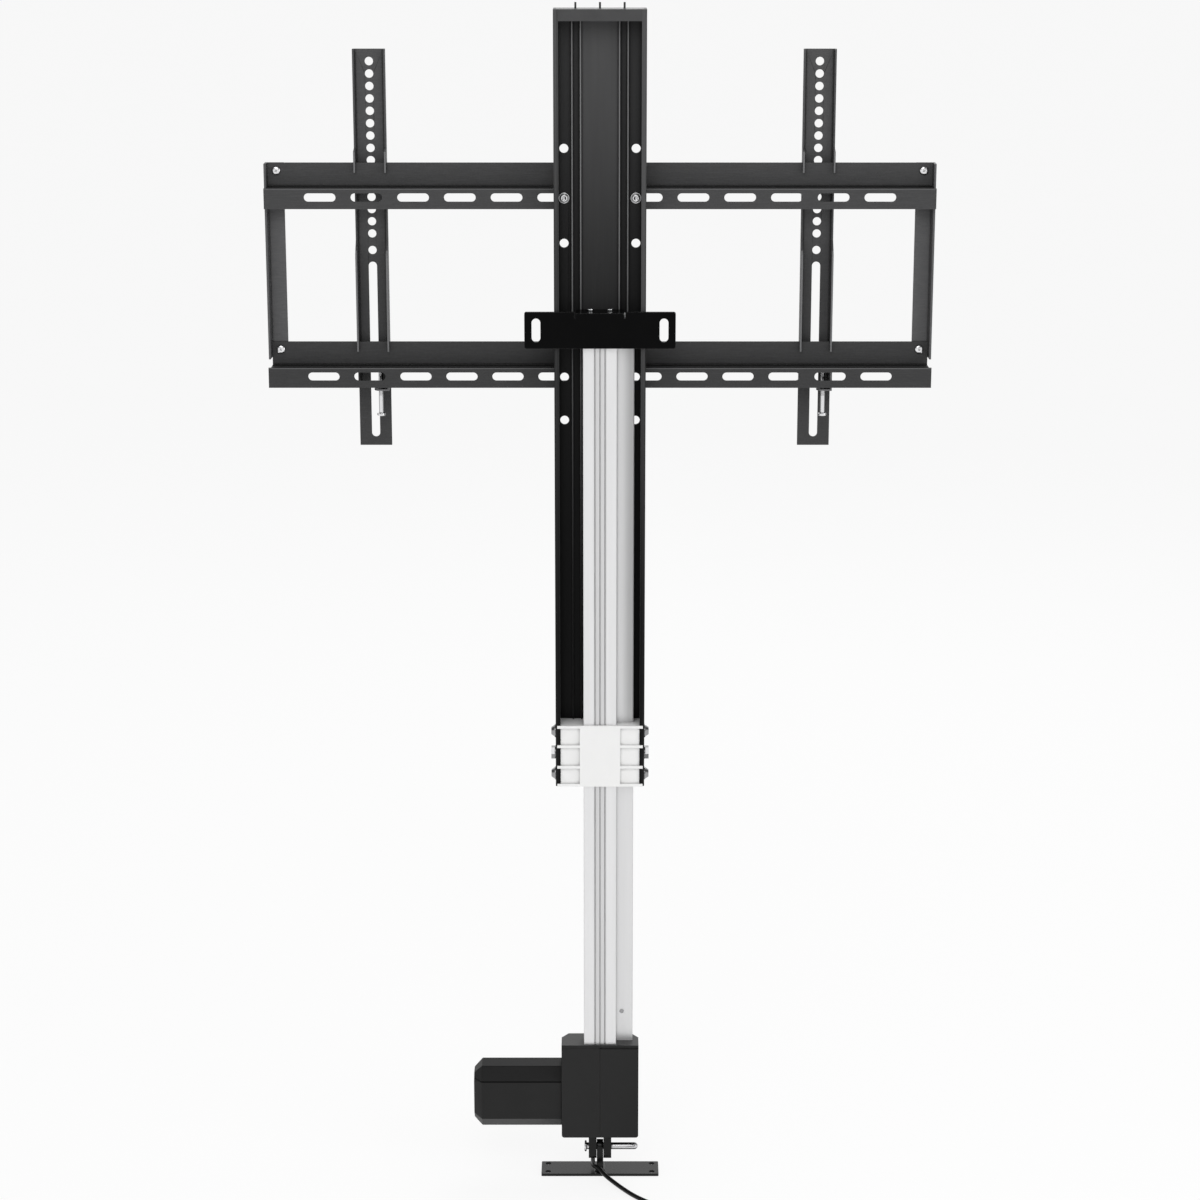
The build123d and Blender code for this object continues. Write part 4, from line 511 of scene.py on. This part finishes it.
def dress(node, made=None):
    """Puts a finish in every material slot of a CAD node."""
    piece = frame["nodes"][node]
    if made is None:
        slots = {part["node"]: part["material_slot"] for part in frame["record"]["subparts"]}
        made = finish_of(slots[node])
    for holder in piece.material_slots:
        holder.material = made


def soften(node, width_mm):
    """Rounds a CAD node's sharp edges a little, without touching its mesh."""
    piece = frame["nodes"][node]
    weld = piece.modifiers.new("join", "WELD")
    weld.merge_threshold = 0.00002
    bevel = piece.modifiers.new("edge", "BEVEL")
    bevel.width = width_mm * MM
    bevel.segments = 2
    bevel.limit_method = "ANGLE"
    bevel.angle_limit = math.radians(32)
    bevel.harden_normals = True
    bevel.use_clamp_overlap = True


def unselect():
    for piece in bpy.context.selected_objects:
        piece.select_set(False)


def settle(piece, name, slot, body, made=None):
    """Gives a finished piece its name, place in its mesh, finish and body."""
    unselect()
    piece.select_set(True)
    bpy.context.view_layer.objects.active = piece
    bpy.ops.object.transform_apply(location=True, rotation=True, scale=True)
    piece.name = name
    piece.data.name = name
    piece.data.materials.clear()
    piece.data.materials.append(made or finish_of(slot))
    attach(piece, body)
    return piece


def turned(radii, sides=32):
    """A turned piece along Z from (radius, height) steps in millimetres: a circle, extruded and resized."""
    unselect()
    first_radius, first_height = radii[0]
    bpy.ops.mesh.primitive_circle_add(
        vertices=sides, radius=first_radius * MM, fill_type="NGON", location=(0, 0, first_height * MM),
    )
    piece = bpy.context.active_object
    bpy.ops.object.transform_apply(location=True)
    bpy.ops.object.mode_set(mode="EDIT")
    bpy.ops.mesh.select_all(action="SELECT")
    before_radius, before_height = radii[0]
    for radius, height in radii[1:]:
        bpy.ops.mesh.extrude_region_move(
            TRANSFORM_OT_translate={"value": (0, 0, (height - before_height) * MM)}
        )
        growth = radius / before_radius
        bpy.ops.transform.resize(value=(growth, growth, 1), center_override=(0, 0, height * MM))
        before_radius, before_height = radius, height
    bpy.ops.mesh.select_all(action="SELECT")
    bpy.ops.mesh.normals_make_consistent(inside=False)
    bpy.ops.object.mode_set(mode="OBJECT")
    return piece


def round_edges(piece, width_mm, segments=2, angle=30):
    """Bevels a piece's sharp edges and smooths its faces."""
    bpy.context.view_layer.objects.active = piece
    bevel = piece.modifiers.new("round", "BEVEL")
    bevel.width, bevel.segments = width_mm * MM, segments
    bevel.limit_method, bevel.angle_limit = "ANGLE", math.radians(angle)
    bpy.ops.object.modifier_apply(modifier=bevel.name)
    unselect()
    piece.select_set(True)
    bpy.ops.object.shade_smooth_by_angle(angle=math.radians(40))


def cut_away(piece, tool, name):
    """Cuts the tool's form out of a piece, and removes the tool."""
    cut = piece.modifiers.new(name, "BOOLEAN")
    cut.object, cut.operation, cut.solver = tool, "DIFFERENCE", "EXACT"
    bpy.context.view_layer.objects.active = piece
    bpy.ops.object.modifier_apply(modifier=cut.name)
    bpy.data.objects.remove(tool)


def joined(pieces):
    """Joins the pieces into the first of them."""
    unselect()
    for piece in pieces:
        piece.select_set(True)
    bpy.context.view_layer.objects.active = pieces[0]
    bpy.ops.object.join()
    return pieces[0]


def coil_points():
    """The coil's control points: half turns that spiral in on the floor, climb, and spiral out on top."""
    centre_x, centre_y = COIL_CENTRE
    side, radius, height, heading = 1, COIL_RADIUS, COIL_FLOOR, -1
    swell = 1 / (1 - (math.pi / COIL_POINTS) ** 2 / 8)
    points = []
    for step in COIL_STEPS:
        here = Vector((centre_x + side * radius, centre_y, height))
        side, radius = -side, radius + step * COIL_PITCH / 2
        height += COIL_LAYER if step == 0 else 0
        there = Vector((centre_x + side * radius, centre_y, height))
        half, middle = (there - here) / 2, (here + there) / 2
        for n in range(COIL_POINTS):
            turn = math.pi * n / COIL_POINTS
            across = half * -math.cos(turn) * swell
            along = Vector((0, heading * half.length * math.sin(turn) * swell, 0))
            points.append(middle + across + along)
        heading = -heading
    points.append(Vector((centre_x + side * radius * swell, centre_y, height)))
    return points


def lead_points():
    """The whole lead's control points in metres."""
    coil = [tuple(point) for point in coil_points()]
    return [tuple(part * MM for part in point) for point in (*LEAD_ROUTE, *coil, *TAIL_ROUTE)]


class LiftSizes(bpy.types.PropertyGroup):
    """Sizes of the pieces that this file adds, in millimetres."""

    lead_radius: bpy.props.FloatProperty(
        name="Lead radius", description="Radius of the motor lead's jacket, mm", default=2.5, min=1, max=5)
    sleeve_length: bpy.props.FloatProperty(
        name="Sleeve length", description="Length of the bend sleeve under the gland, mm",
        default=16, min=5, max=30)
    tie_width: bpy.props.FloatProperty(
        name="Tie width", description="Width of the band that holds the coil, mm", default=3.6, min=2, max=8)
    weld_size: bpy.props.FloatProperty(
        name="Weld size", description="Leg of the weld round the tongue, mm", default=2.6, min=1, max=4)
    thread_pitch: bpy.props.FloatProperty(
        name="Thread pitch", description="Pitch of the lock screws' threads, mm",
        default=1.0, min=0.5, max=2)
    sheet_edge: bpy.props.FloatProperty(
        name="Sheet edge", description="Rounding of cut sheet edges, mm", default=0.35, min=0, max=1)
    moulded_edge: bpy.props.FloatProperty(
        name="Moulded edge", description="Rounding of moulded edges, mm", default=0.7, min=0, max=2)


LiftColours = type(
    "LiftColours",
    (bpy.types.PropertyGroup,),
    {
        "__doc__": "Base colour of each finish.",
        "__annotations__": {
            slot: bpy.props.FloatVectorProperty(
                name=slot.replace("_", " ").capitalize(),
                description=f"Base colour of the {slot.replace('_', ' ')}",
                subtype="COLOR", size=4, min=0, max=1, default=color,
            )
            for slot, (_, color) in FINISHES.items()
        },
    },
)


class TVLIFT_OT_stage(bpy.types.Operator):
    """Pale floor, studio lights and the camera at the photograph's viewing angle"""

    bl_idname = "tvlift.stage"
    bl_label = "Stage"

    def execute(self, context):
        unselect()
        bpy.ops.mesh.primitive_plane_add(size=FLOOR_SIZE, location=(0, 0, -FLOOR_DROP))
        floor = context.active_object
        floor.name = "studio_floor"
        bpy.ops.object.transform_apply(location=True)
        paper = bpy.data.materials.new("studio_paper")
        paper.use_nodes = True
        recipe = Recipe(paper.node_tree)
        tone = recipe.mix(recipe.noise(400), (0.93, 0.93, 0.93, 1), (0.96, 0.96, 0.96, 1))
        lit = recipe.node("ShaderNodeBsdfDiffuse", None, {"Color": tone})
        bright = recipe.node("ShaderNodeEmission", None, {"Color": (1, 1, 1, 1), "Strength": 1.0})
        both = recipe.node("ShaderNodeMixShader", None, {0: self.seen(recipe) * 0.82, 1: lit, 2: bright})
        recipe.node("ShaderNodeOutputMaterial", None, {"Surface": both})
        floor.data.materials.append(paper)
        self.world(context)
        self.lights()
        self.camera(context)
        return {"FINISHED"}

    def seen(self, recipe):
        """1 for what the camera, a mirror or a clear body sees."""
        camera, glossy, clear = (
            recipe.node("ShaderNodeLightPath", output=name)
            for name in ("Is Camera Ray", "Is Glossy Ray", "Is Transmission Ray")
        )
        total = camera + glossy + clear
        return total.combine("MINIMUM", total, 1.0)

    def world(self, context):
        world = bpy.data.worlds.new("studio_air")
        context.scene.world = world
        world.use_nodes = True
        recipe = Recipe(world.node_tree)
        heading = recipe.node("ShaderNodeTexCoord", output="Generated")
        parts = recipe.node("ShaderNodeSeparateXYZ", None, {0: heading})
        _, y, z = (Wire(recipe, socket) for socket in parts.socket.node.outputs)
        room = recipe.span(y, 0.75, 0.35) * recipe.span(z, 0.02, 0.3)
        shown = recipe.mix(room, (1, 1, 1, 1), (0.16, 0.16, 0.16, 1))
        air = recipe.mix(self.seen(recipe), (0.68, 0.68, 0.68, 1), shown)
        sky = recipe.node("ShaderNodeBackground", None, {"Color": air, "Strength": 1.0})
        recipe.node("ShaderNodeOutputWorld", None, {"Surface": sky})

    def lights(self):
        for name, place, aim, size, power in (
            ("key_light", (-0.3, -2.6, 2.7), (0, 0, 0.7), 2.2, 27),
            ("fill_light", (2.2, -1.4, 1.6), (0, 0, 0.7), 1.8, 11),
            ("rim_light", (0.6, 2.4, 2.6), (0, 0, 0.8), 1.4, 18),
        ):
            bpy.ops.object.light_add(type="AREA", location=place)
            light = bpy.context.active_object
            light.name = name
            light.data.shape, light.data.size, light.data.energy = "DISK", size, power
            towards = Vector(aim) - Vector(place)
            light.rotation_euler = towards.to_track_quat("-Z", "Y").to_euler()

    def camera(self, context):
        bpy.ops.object.camera_add(location=CAMERA_PLACE, rotation=(math.radians(CAMERA_TILT), 0, 0))
        camera = context.active_object
        camera.name = "photo_camera"
        camera.data.lens, camera.data.sensor_width = CAMERA_LENS, CAMERA_SENSOR
        context.scene.camera = camera
        context.scene.view_settings.view_transform = "Standard"


class TVLIFT_OT_finishes(bpy.types.Operator):
    """A procedural finish on every CAD piece, and slightly rounded edges on the large ones"""

    bl_idname = "tvlift.finishes"
    bl_label = "Finishes"

    def execute(self, context):
        sizes = context.scene.tv_lift_sizes
        for node in frame["nodes"]:
            dress(node)
        dress("column_cap", material("lift_column_cap", satin_plastic, (0.036, 0.036, 0.037, 1)))
        colours = context.scene.tv_lift_colours
        black = tuple(colours.housing_plastic)
        # the motor cover: the housing's plastic with painted light and shade over its facets
        dress("motor_cover", material("lift_motor_plastic", moulded_plastic, black, True))
        for node in ("carriage_round_bolts", "carriage_hex_bolts", "switch_screws"):
            dress(node, material("lift_dull_zinc", zinc_plate, (0.36, 0.36, 0.365, 1)))
        # lighter copies of the frame's coat: painted light, lighter towards the top on the arms and about twice
        # as light on the side bars
        grey = tuple(colours.frame_steel)
        arm = material("lift_arm_coat", powder_coat, grey, 0.92, 1.5, 0.86, 1.26, "arm")
        bar = material("lift_side_bar_coat", powder_coat, grey, 2, 2.1, 0.9, 1.2, "bar")
        for side in ("left", "right"):
            dress(f"tv_arm_{side}", arm)
            dress(f"side_bar_{side}", bar)
        for node in (
            "foot_plate", "clevis_bracket", "wall_bracket", "top_rail", "bottom_rail", "tv_arm_left",
            "tv_arm_right", "column_channel",
        ):
            soften(node, sizes.sheet_edge)
        for node in (
            "gearbox_housing_left", "gearbox_housing_right", "motor_cover", "carriage_block", "column_cap",
        ):
            soften(node, sizes.moulded_edge)
        for node in (
            "carriage_round_bolts", "carriage_hex_bolts", "bracket_screws", "frame_nuts", "column_nuts",
        ):
            soften(node, sizes.sheet_edge / 2)
        steel = tuple(colours.bright_steel)
        screw = material("lift_lead_screw", threaded_steel, steel, 12.0, 4, (0, PROFILE_MIDDLE_Y * MM, 0))
        dress("lead_screw", screw)
        return {"FINISHED"}


class TVLIFT_OT_motor_lead(bpy.types.Operator):
    """The motor lead with its bend sleeve, connector and the tie round its coil"""

    bl_idname = "tvlift.motor_lead"
    bl_label = "Motor lead"

    def execute(self, context):
        sizes = context.scene.tv_lift_sizes
        lead = self.lead(sizes.lead_radius)
        self.sleeve(sizes)
        plug = self.connector()
        tie = self.tie(sizes)
        return {"FINISHED"}

    def lead(self, radius):
        line = bpy.data.curves.new("motor_lead_run", "CURVE")
        line.dimensions = "3D"
        spline = line.splines.new("NURBS")
        points = lead_points()
        spline.points.add(len(points) - 1)
        for control, point in zip(spline.points, points):
            control.co = (*point, 1)
        spline.order_u = 3
        spline.use_endpoint_u = True
        spline.resolution_u = 6
        line.bevel_depth = radius * MM
        line.bevel_resolution = 5
        line.use_fill_caps = True
        lead = bpy.data.objects.new("motor_lead_run", line)
        bpy.context.collection.objects.link(lead)
        line.materials.append(finish_of("black_rubber"))
        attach(lead, "base")
        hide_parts("motor_lead", "motor_lead_coil", "motor_lead_tail")
        return lead

    def sleeve(self, sizes):
        """A ribbed, tapered sleeve under the gland."""
        thin, thick = sizes.lead_radius + 0.5, sizes.lead_radius + 1.5
        ribs = 6
        steps = [(sizes.lead_radius * 0.9, GLAND_TOP - sizes.sleeve_length)]
        for n in range(ribs):
            low = GLAND_TOP - sizes.sleeve_length + n * (sizes.sleeve_length - 3) / ribs
            rise = (sizes.sleeve_length - 3) / ribs
            radius = thin + (thick - thin) * n / ribs
            steps += [(radius, low), (radius, low + 0.6 * rise), (radius - 0.35, low + 0.66 * rise),
                      (radius - 0.35, low + 0.97 * rise)]
        steps += [(thick + 0.4, GLAND_TOP - 3), (thick + 0.4, GLAND_TOP - 0.05), (thick - 1.2, GLAND_TOP)]
        piece = turned(steps)
        piece.location = (LEAD_EXIT[0] * MM, LEAD_EXIT[1] * MM, 0)
        round_edges(piece, 0.15, 1)
        settle(piece, "lead_bend_sleeve", "black_rubber", "base")
        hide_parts("lead_gland")

    def connector(self):
        """A round cable connector: ribbed neck, grip ring with flats, and a collar with a mouth."""
        end = Vector(TAIL_ROUTE[-1]) * MM
        heading = (Vector(TAIL_ROUTE[-1]) - Vector(TAIL_ROUTE[-2])).normalized()
        steps = [(2.4, 0), (3.2, 0.2)]
        for n in range(4):
            steps += [(3.3 + 0.3 * n, 1 + 3 * n), (3.3 + 0.3 * n, 2.8 + 3 * n), (2.9 + 0.3 * n, 3.0 + 3 * n),
                      (2.9 + 0.3 * n, 3.9 + 3 * n)]
        steps += [(4.8, 13.2), (5.9, 14), (5.9, 15.2), (5.5, 15.5), (5.5, 24), (5.9, 24.4), (5.9, 26),
                  (5.2, 26.3), (5.2, 37.6), (4.4, 37.9), (4.4, 33), (0.8, 33)]
        piece = turned(steps, 36)
        bpy.context.view_layer.objects.active = piece
        bpy.ops.object.mode_set(mode="EDIT")
        form = bmesh.from_edit_mesh(piece.data)
        for face in form.faces:
            height = face.calc_center_median().z / MM
            face.select = 15.6 < height < 23.9 and abs(face.normal.z) < 0.1
        bmesh.update_edit_mesh(piece.data)
        bpy.ops.mesh.inset(thickness=0.00018, depth=-0.00025, use_individual=True)
        bpy.ops.object.mode_set(mode="OBJECT")
        round_edges(piece, 0.12, 1, 50)
        turn = heading.to_track_quat("Z", "Y").to_matrix().to_4x4()
        piece.matrix_world = Matrix.Translation(end) @ turn
        settle(piece, "lead_plug", "switch_plastic", "base")
        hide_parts("lead_connector")
        return piece

    def tie(self, sizes):
        """A flat band round the coil's turns on its far side, with its lock head on top."""
        inner, outer = COIL_RADIUS - 2.5 * COIL_PITCH - 3.2, COIL_RADIUS + 3.2
        low, high = 0.55, COIL_FLOOR + COIL_LAYER + sizes.lead_radius + 0.5
        wide, tall = outer - inner, high - low
        unselect()
        bpy.ops.mesh.primitive_cylinder_add(
            vertices=48, radius=0.5 * MM, depth=sizes.tie_width * MM, end_fill_type="NOTHING",
        )
        band = bpy.context.active_object
        bpy.ops.object.mode_set(mode="EDIT")
        form = bmesh.from_edit_mesh(band.data)
        for vertex in form.verts:
            flat = Vector((vertex.co.x, vertex.co.y)).normalized()
            reach = (abs(flat.x) ** 5 + abs(flat.y) ** 5) ** -0.2
            vertex.co.x = flat.x * reach * wide / 2 * MM
            vertex.co.y = flat.y * reach * tall / 2 * MM
        bmesh.update_edit_mesh(band.data)
        bpy.ops.object.mode_set(mode="OBJECT")
        wall = band.modifiers.new("wall", "SOLIDIFY")
        wall.thickness, wall.offset = 0.9 * MM, 0
        bpy.ops.object.modifier_apply(modifier=wall.name)
        round_edges(band, 0.15, 1)
        bpy.ops.mesh.primitive_cube_add(size=1)
        head = bpy.context.active_object
        head.scale = (5.2 * MM, 3.4 * MM, (sizes.tie_width + 1.6) * MM)
        head.location = (0, (tall / 2 - 0.2) * MM, 0)
        bpy.ops.object.transform_apply(location=True, scale=True)
        bpy.ops.object.mode_set(mode="EDIT")
        form = bmesh.from_edit_mesh(head.data)
        for face in form.faces:
            face.select = abs(face.normal.x) > 0.9
        bmesh.update_edit_mesh(head.data)
        bpy.ops.mesh.inset(thickness=0.7 * MM, depth=-0.8 * MM)
        bpy.ops.object.mode_set(mode="OBJECT")
        round_edges(head, 0.4)
        joined([band, head])
        upright = Matrix.Rotation(math.radians(90), 4, "X")
        place = ((COIL_CENTRE[0] - (inner + outer) / 2) * MM, COIL_CENTRE[1] * MM, (low + high) / 2 * MM)
        band.matrix_world = Matrix.Translation(place) @ upright
        return settle(band, "coil_tie", "switch_plastic", "base")


class TVLIFT_OT_weld(bpy.types.Operator):
    """The weld bead round the foot of the tongue"""

    bl_idname = "tvlift.weld"
    bl_label = "Weld bead"

    def execute(self, context):
        size = context.scene.tv_lift_sizes.weld_size
        thick, deep, foot = TONGUE
        right, back = thick / 2, deep / 2
        corners = [(right, back), (-right, back), (-right, -back), (right, -back)]
        lumps = []
        for here, there in zip(corners, corners[1:] + corners[:1]):
            run = math.dist(here, there)
            count = max(2, round(run / 1.35))
            for n in range(count):
                share = n / count
                x = here[0] + (there[0] - here[0]) * share
                y = here[1] + (there[1] - here[1]) * share
                wobble = math.sin(len(lumps) * 2.3)
                unselect()
                bpy.ops.mesh.primitive_uv_sphere_add(segments=12, ring_count=8, radius=size * MM)
                lump = context.active_object
                lump.scale = (0.78 + 0.07 * wobble, 0.78 - 0.06 * wobble, 0.86 + 0.08 * wobble)
                lump.location = (x * MM, y * MM, (foot + 0.1) * MM)
                lumps.append(lump)
        bead = joined(lumps)
        bpy.ops.object.transform_apply(location=True, rotation=True, scale=True)
        remesh = bead.modifiers.new("fuse", "REMESH")
        remesh.mode, remesh.voxel_size = "VOXEL", 0.35 * MM
        bpy.ops.object.modifier_apply(modifier=remesh.name)
        smooth = bead.modifiers.new("flow", "SMOOTH")
        smooth.factor, smooth.iterations = 0.5, 3
        bpy.ops.object.modifier_apply(modifier=smooth.name)
        bpy.ops.object.mode_set(mode="EDIT")
        bpy.ops.mesh.select_all(action="SELECT")
        bpy.ops.mesh.bisect(
            plane_co=(0, 0, (foot - 0.6) * MM), plane_no=(0, 0, 1), use_fill=True, clear_inner=True,
        )
        bpy.ops.object.mode_set(mode="OBJECT")
        bpy.ops.object.shade_smooth()
        black = material("lift_weld", weld_metal, tuple(context.scene.tv_lift_colours.black_steel))
        settle(bead, "tongue_weld", "black_steel", "foot", black)
        return {"FINISHED"}


class TVLIFT_OT_lock_screws(bpy.types.Operator):
    """The two threaded screws that lock the arms against the bottom rail"""

    bl_idname = "tvlift.lock_screws"
    bl_label = "Lock screws"

    def execute(self, context):
        pitch = context.scene.tv_lift_sizes.thread_pitch
        for name in ("left", "right"):
            node = f"lock_screw_{name}"
            low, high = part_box(node)
            middle = [(a + b) / 2 for a, b in zip(low, high)]
            head, tip = low[2] / MM + 3, high[2] / MM
            radius = LOCK_SCREW_RADIUS
            height = head + 0.4 * (tip - head)
            steps = [(2.4, head), (2.4, head + 0.6), (radius, head + 1), (radius, height)]
            while height < tip - 2.2:
                steps += [(radius - 0.2, height + pitch * 0.3), (radius - 0.2, height + pitch * 0.5),
                          (radius, height + pitch * 0.85), (radius, height + pitch)]
                height += pitch
            steps += [(radius - 0.3, tip - 1), (radius - 0.7, tip)]
            shank = turned(steps, 20)
            bpy.ops.object.shade_smooth_by_angle(angle=math.radians(30))
            cap = turned([(3.4, head - 3), (4.25, head - 2.7), (4.6, head - 2.1), (4.6, head)], 32)
            bpy.ops.object.mode_set(mode="EDIT")
            form = bmesh.from_edit_mesh(cap.data)
            for face in form.faces:
                face.select = face.calc_center_median().z < (head - 2.9) * MM
            bmesh.update_edit_mesh(cap.data)
            bpy.ops.mesh.inset(thickness=1.5 * MM, depth=0)
            bpy.ops.mesh.extrude_region_move(TRANSFORM_OT_translate={"value": (0, 0, 1.4 * MM)})
            bpy.ops.mesh.select_all(action="SELECT")
            bpy.ops.mesh.normals_make_consistent(inside=False)
            bpy.ops.object.mode_set(mode="OBJECT")
            round_edges(cap, 0.2, 2)
            joined([shank, cap])
            shank.location = (middle[0], middle[1], 0)
            # painted shade: the screws' sides darker
            plate = material("lift_lock_zinc", zinc_plate, (0.8, 0.8, 0.81, 1), (0, 0.6, 0.85))
            settle(shank, f"lock_screw_threaded_{name}", "zinc_steel", f"lock_{name}", plate)
            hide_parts(node)
        return {"FINISHED"}


class TVLIFT_OT_clevis_pin(bpy.types.Operator):
    """The hinge pin with its grooved head, round tip and cotter hole"""

    bl_idname = "tvlift.clevis_pin"
    bl_label = "Clevis pin"

    def execute(self, context):
        low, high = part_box("clevis_pin")
        middle_y, middle_z = (low[1] + high[1]) / 2, (low[2] + high[2]) / 2
        head, length = (high[2] - low[2]) / 2 / MM, (high[0] - low[0]) / MM
        tip, rings, step = 4.5, 7, 11.5
        steps = [(head - 1.6, 0), (head - 0.5, 0.25), (head, 1), (head, 1.9), (head - 0.6, 2.5), (3.9, 2.7),
                 (3.9, 3.4), (PIN_RADIUS, 3.6), (PIN_RADIUS, length - tip)]
        for n in range(1, rings + 1):
            turn = math.radians(n * step)
            rise = math.sin(turn) / math.sin(math.radians(rings * step))
            steps.append((PIN_RADIUS * math.cos(turn), length - tip + tip * rise))
        pin = turned(steps, 40)
        bpy.ops.mesh.primitive_cylinder_add(
            vertices=20, radius=1.4 * MM, depth=6 * PIN_RADIUS * MM, location=(0, 0, (length - 6) * MM),
            rotation=(0, math.radians(90), 0),
        )
        cut_away(pin, context.active_object, "cotter_hole")
        round_edges(pin, 0.15, 1, 40)
        turn = Matrix.Rotation(math.radians(90), 4, "Y") @ Matrix.Rotation(math.radians(35), 4, "Z")
        pin.matrix_world = Matrix.Translation((low[0], middle_y, middle_z)) @ turn
        # painted shade: the pin's top and underside darker
        plate = material("lift_pin_zinc", zinc_plate, (0.7, 0.7, 0.71, 1), (2, 0.7, 0.93))
        settle(pin, "clevis_pin_turned", "zinc_steel", "base", plate)
        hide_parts("clevis_pin")
        return {"FINISHED"}


class TVLIFT_OT_frame_screws(bpy.types.Operator):
    """The four domed cross-recess screws in the frame's corners"""

    bl_idname = "tvlift.frame_screws"
    bl_label = "Frame screws"

    def execute(self, context):
        low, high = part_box("frame_screws")
        rim, seat = FRAME_SCREW_HEAD_RADIUS, low[1] / MM + FRAME_SCREW_HEAD
        reach = seat - high[1] / MM
        # painted shade: the heads' sides and rims, which don't face the front, darker
        plate = material("lift_screw_zinc", zinc_plate, (0.85, 0.85, 0.86, 1), (1, 0.55, 0.3))
        screws = []
        for x in (low[0] + rim * MM, high[0] - rim * MM):
            for z in (low[2] + rim * MM, high[2] - rim * MM):
                screw = turned(
                    [(2.1, reach), (2.5, reach + 0.5), (2.5, 0), (rim - 0.15, 0.02), (rim, 0.3), (rim, 1.2),
                     (rim - 0.25, 1.7), (rim - 0.95, 2.1), (2.5, 2.4), (1.1, 2.5)], 36,
                )
                for turn in (0.6, 0.6 + math.radians(90)):
                    bpy.ops.mesh.primitive_cube_add(
                        size=MM, location=(0, 0, 2.7 * MM), rotation=(0, 0, turn), scale=(3, 0.7, 1.8),
                    )
                    cut_away(screw, context.active_object, "recess")
                unselect()
                screw.select_set(True)
                bpy.ops.object.shade_smooth_by_angle(angle=math.radians(40))
                upright = Matrix.Rotation(math.radians(90), 4, "X")
                screw.matrix_world = Matrix.Translation((x, seat * MM, z)) @ upright
                screws.append(screw)
        four = settle(joined(screws), "frame_domed_screws", "zinc_steel", "carriage", plate)
        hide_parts("frame_screws")
        return {"FINISHED"}


class TVLIFT_OT_column_bolts(bpy.types.Operator):
    """The flanged socket bolts that hold the column to the top rail"""

    bl_idname = "tvlift.column_bolts"
    bl_label = "Column bolts"

    def execute(self, context):
        low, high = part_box("column_bolts")
        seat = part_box("column_channel")[1][1] / MM - COLUMN_WALL
        middle_z = (low[2] + high[2]) / 2
        reach = seat - high[1] / MM
        bolts = []
        for middle_x in (low[0] + 0.006, high[0] - 0.006):
            bolt = turned(
                [(2.2, reach), (2.9, reach + 0.7), (2.9, 0), (5.7, 0.02), (6, 0.3), (6, 0.9), (5.6, 1.3),
                 (5.1, 1.3), (4.6, 0.9), (4.15, 0.95), (4.15, 2.4), (3.9, 2.9), (3.4, 3.25)], 40,
            )
            bpy.ops.mesh.primitive_cylinder_add(
                vertices=6, radius=2.5 * MM, depth=4 * MM, location=(0, 0, 3.2 * MM),
            )
            cut_away(bolt, context.active_object, "socket")
            round_edges(bolt, 0.12, 2, 35)
            upright = Matrix.Rotation(math.radians(90), 4, "X")
            bolt.matrix_world = Matrix.Translation((middle_x, seat * MM, middle_z)) @ upright
            bolts.append(bolt)
        # painted shade: the rims and flanks, which don't face the front, darker
        plate = material("lift_bolt_zinc", zinc_plate, (0.78, 0.78, 0.79, 1), (1, 0.93, 0.7))
        pair = settle(joined(bolts), "column_flange_bolts", "zinc_steel", "carriage", plate)
        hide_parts("column_bolts")
        return {"FINISHED"}


class TVLIFT_PT_panel(bpy.types.Panel):
    """Lists the lift's pieces and their settings"""

    bl_label = "TV Lift"
    bl_idname = "TVLIFT_PT_panel"
    bl_space_type = "VIEW_3D"
    bl_region_type = "UI"
    bl_category = "TV Lift"

    def draw(self, context):
        layout = self.layout
        for operator in OPERATORS:
            layout.operator(operator.bl_idname)
        for group in (context.scene.tv_lift_sizes, context.scene.tv_lift_colours):
            for setting in group.bl_rna.properties:
                if setting.identifier not in ("rna_type", "name"):
                    layout.prop(group, setting.identifier)


OPERATORS = (
    TVLIFT_OT_stage, TVLIFT_OT_finishes, TVLIFT_OT_motor_lead, TVLIFT_OT_weld, TVLIFT_OT_lock_screws,
    TVLIFT_OT_clevis_pin, TVLIFT_OT_frame_screws, TVLIFT_OT_column_bolts,
)
CLASSES = (LiftSizes, LiftColours, *OPERATORS, TVLIFT_PT_panel)


def register():
    for item in CLASSES:
        bpy.utils.register_class(item)
    bpy.types.Scene.tv_lift_sizes = bpy.props.PointerProperty(type=LiftSizes)
    bpy.types.Scene.tv_lift_colours = bpy.props.PointerProperty(type=LiftColours)


def unregister():
    del bpy.types.Scene.tv_lift_colours
    del bpy.types.Scene.tv_lift_sizes
    for item in reversed(CLASSES):
        bpy.utils.unregister_class(item)


def main():
    register()
    bpy.ops.tvlift.stage()
    bpy.ops.tvlift.finishes()
    bpy.ops.tvlift.motor_lead()
    bpy.ops.tvlift.weld()
    bpy.ops.tvlift.lock_screws()
    bpy.ops.tvlift.clevis_pin()
    bpy.ops.tvlift.frame_screws()
    bpy.ops.tvlift.column_bolts()


if __name__ == "__main__":
    main()
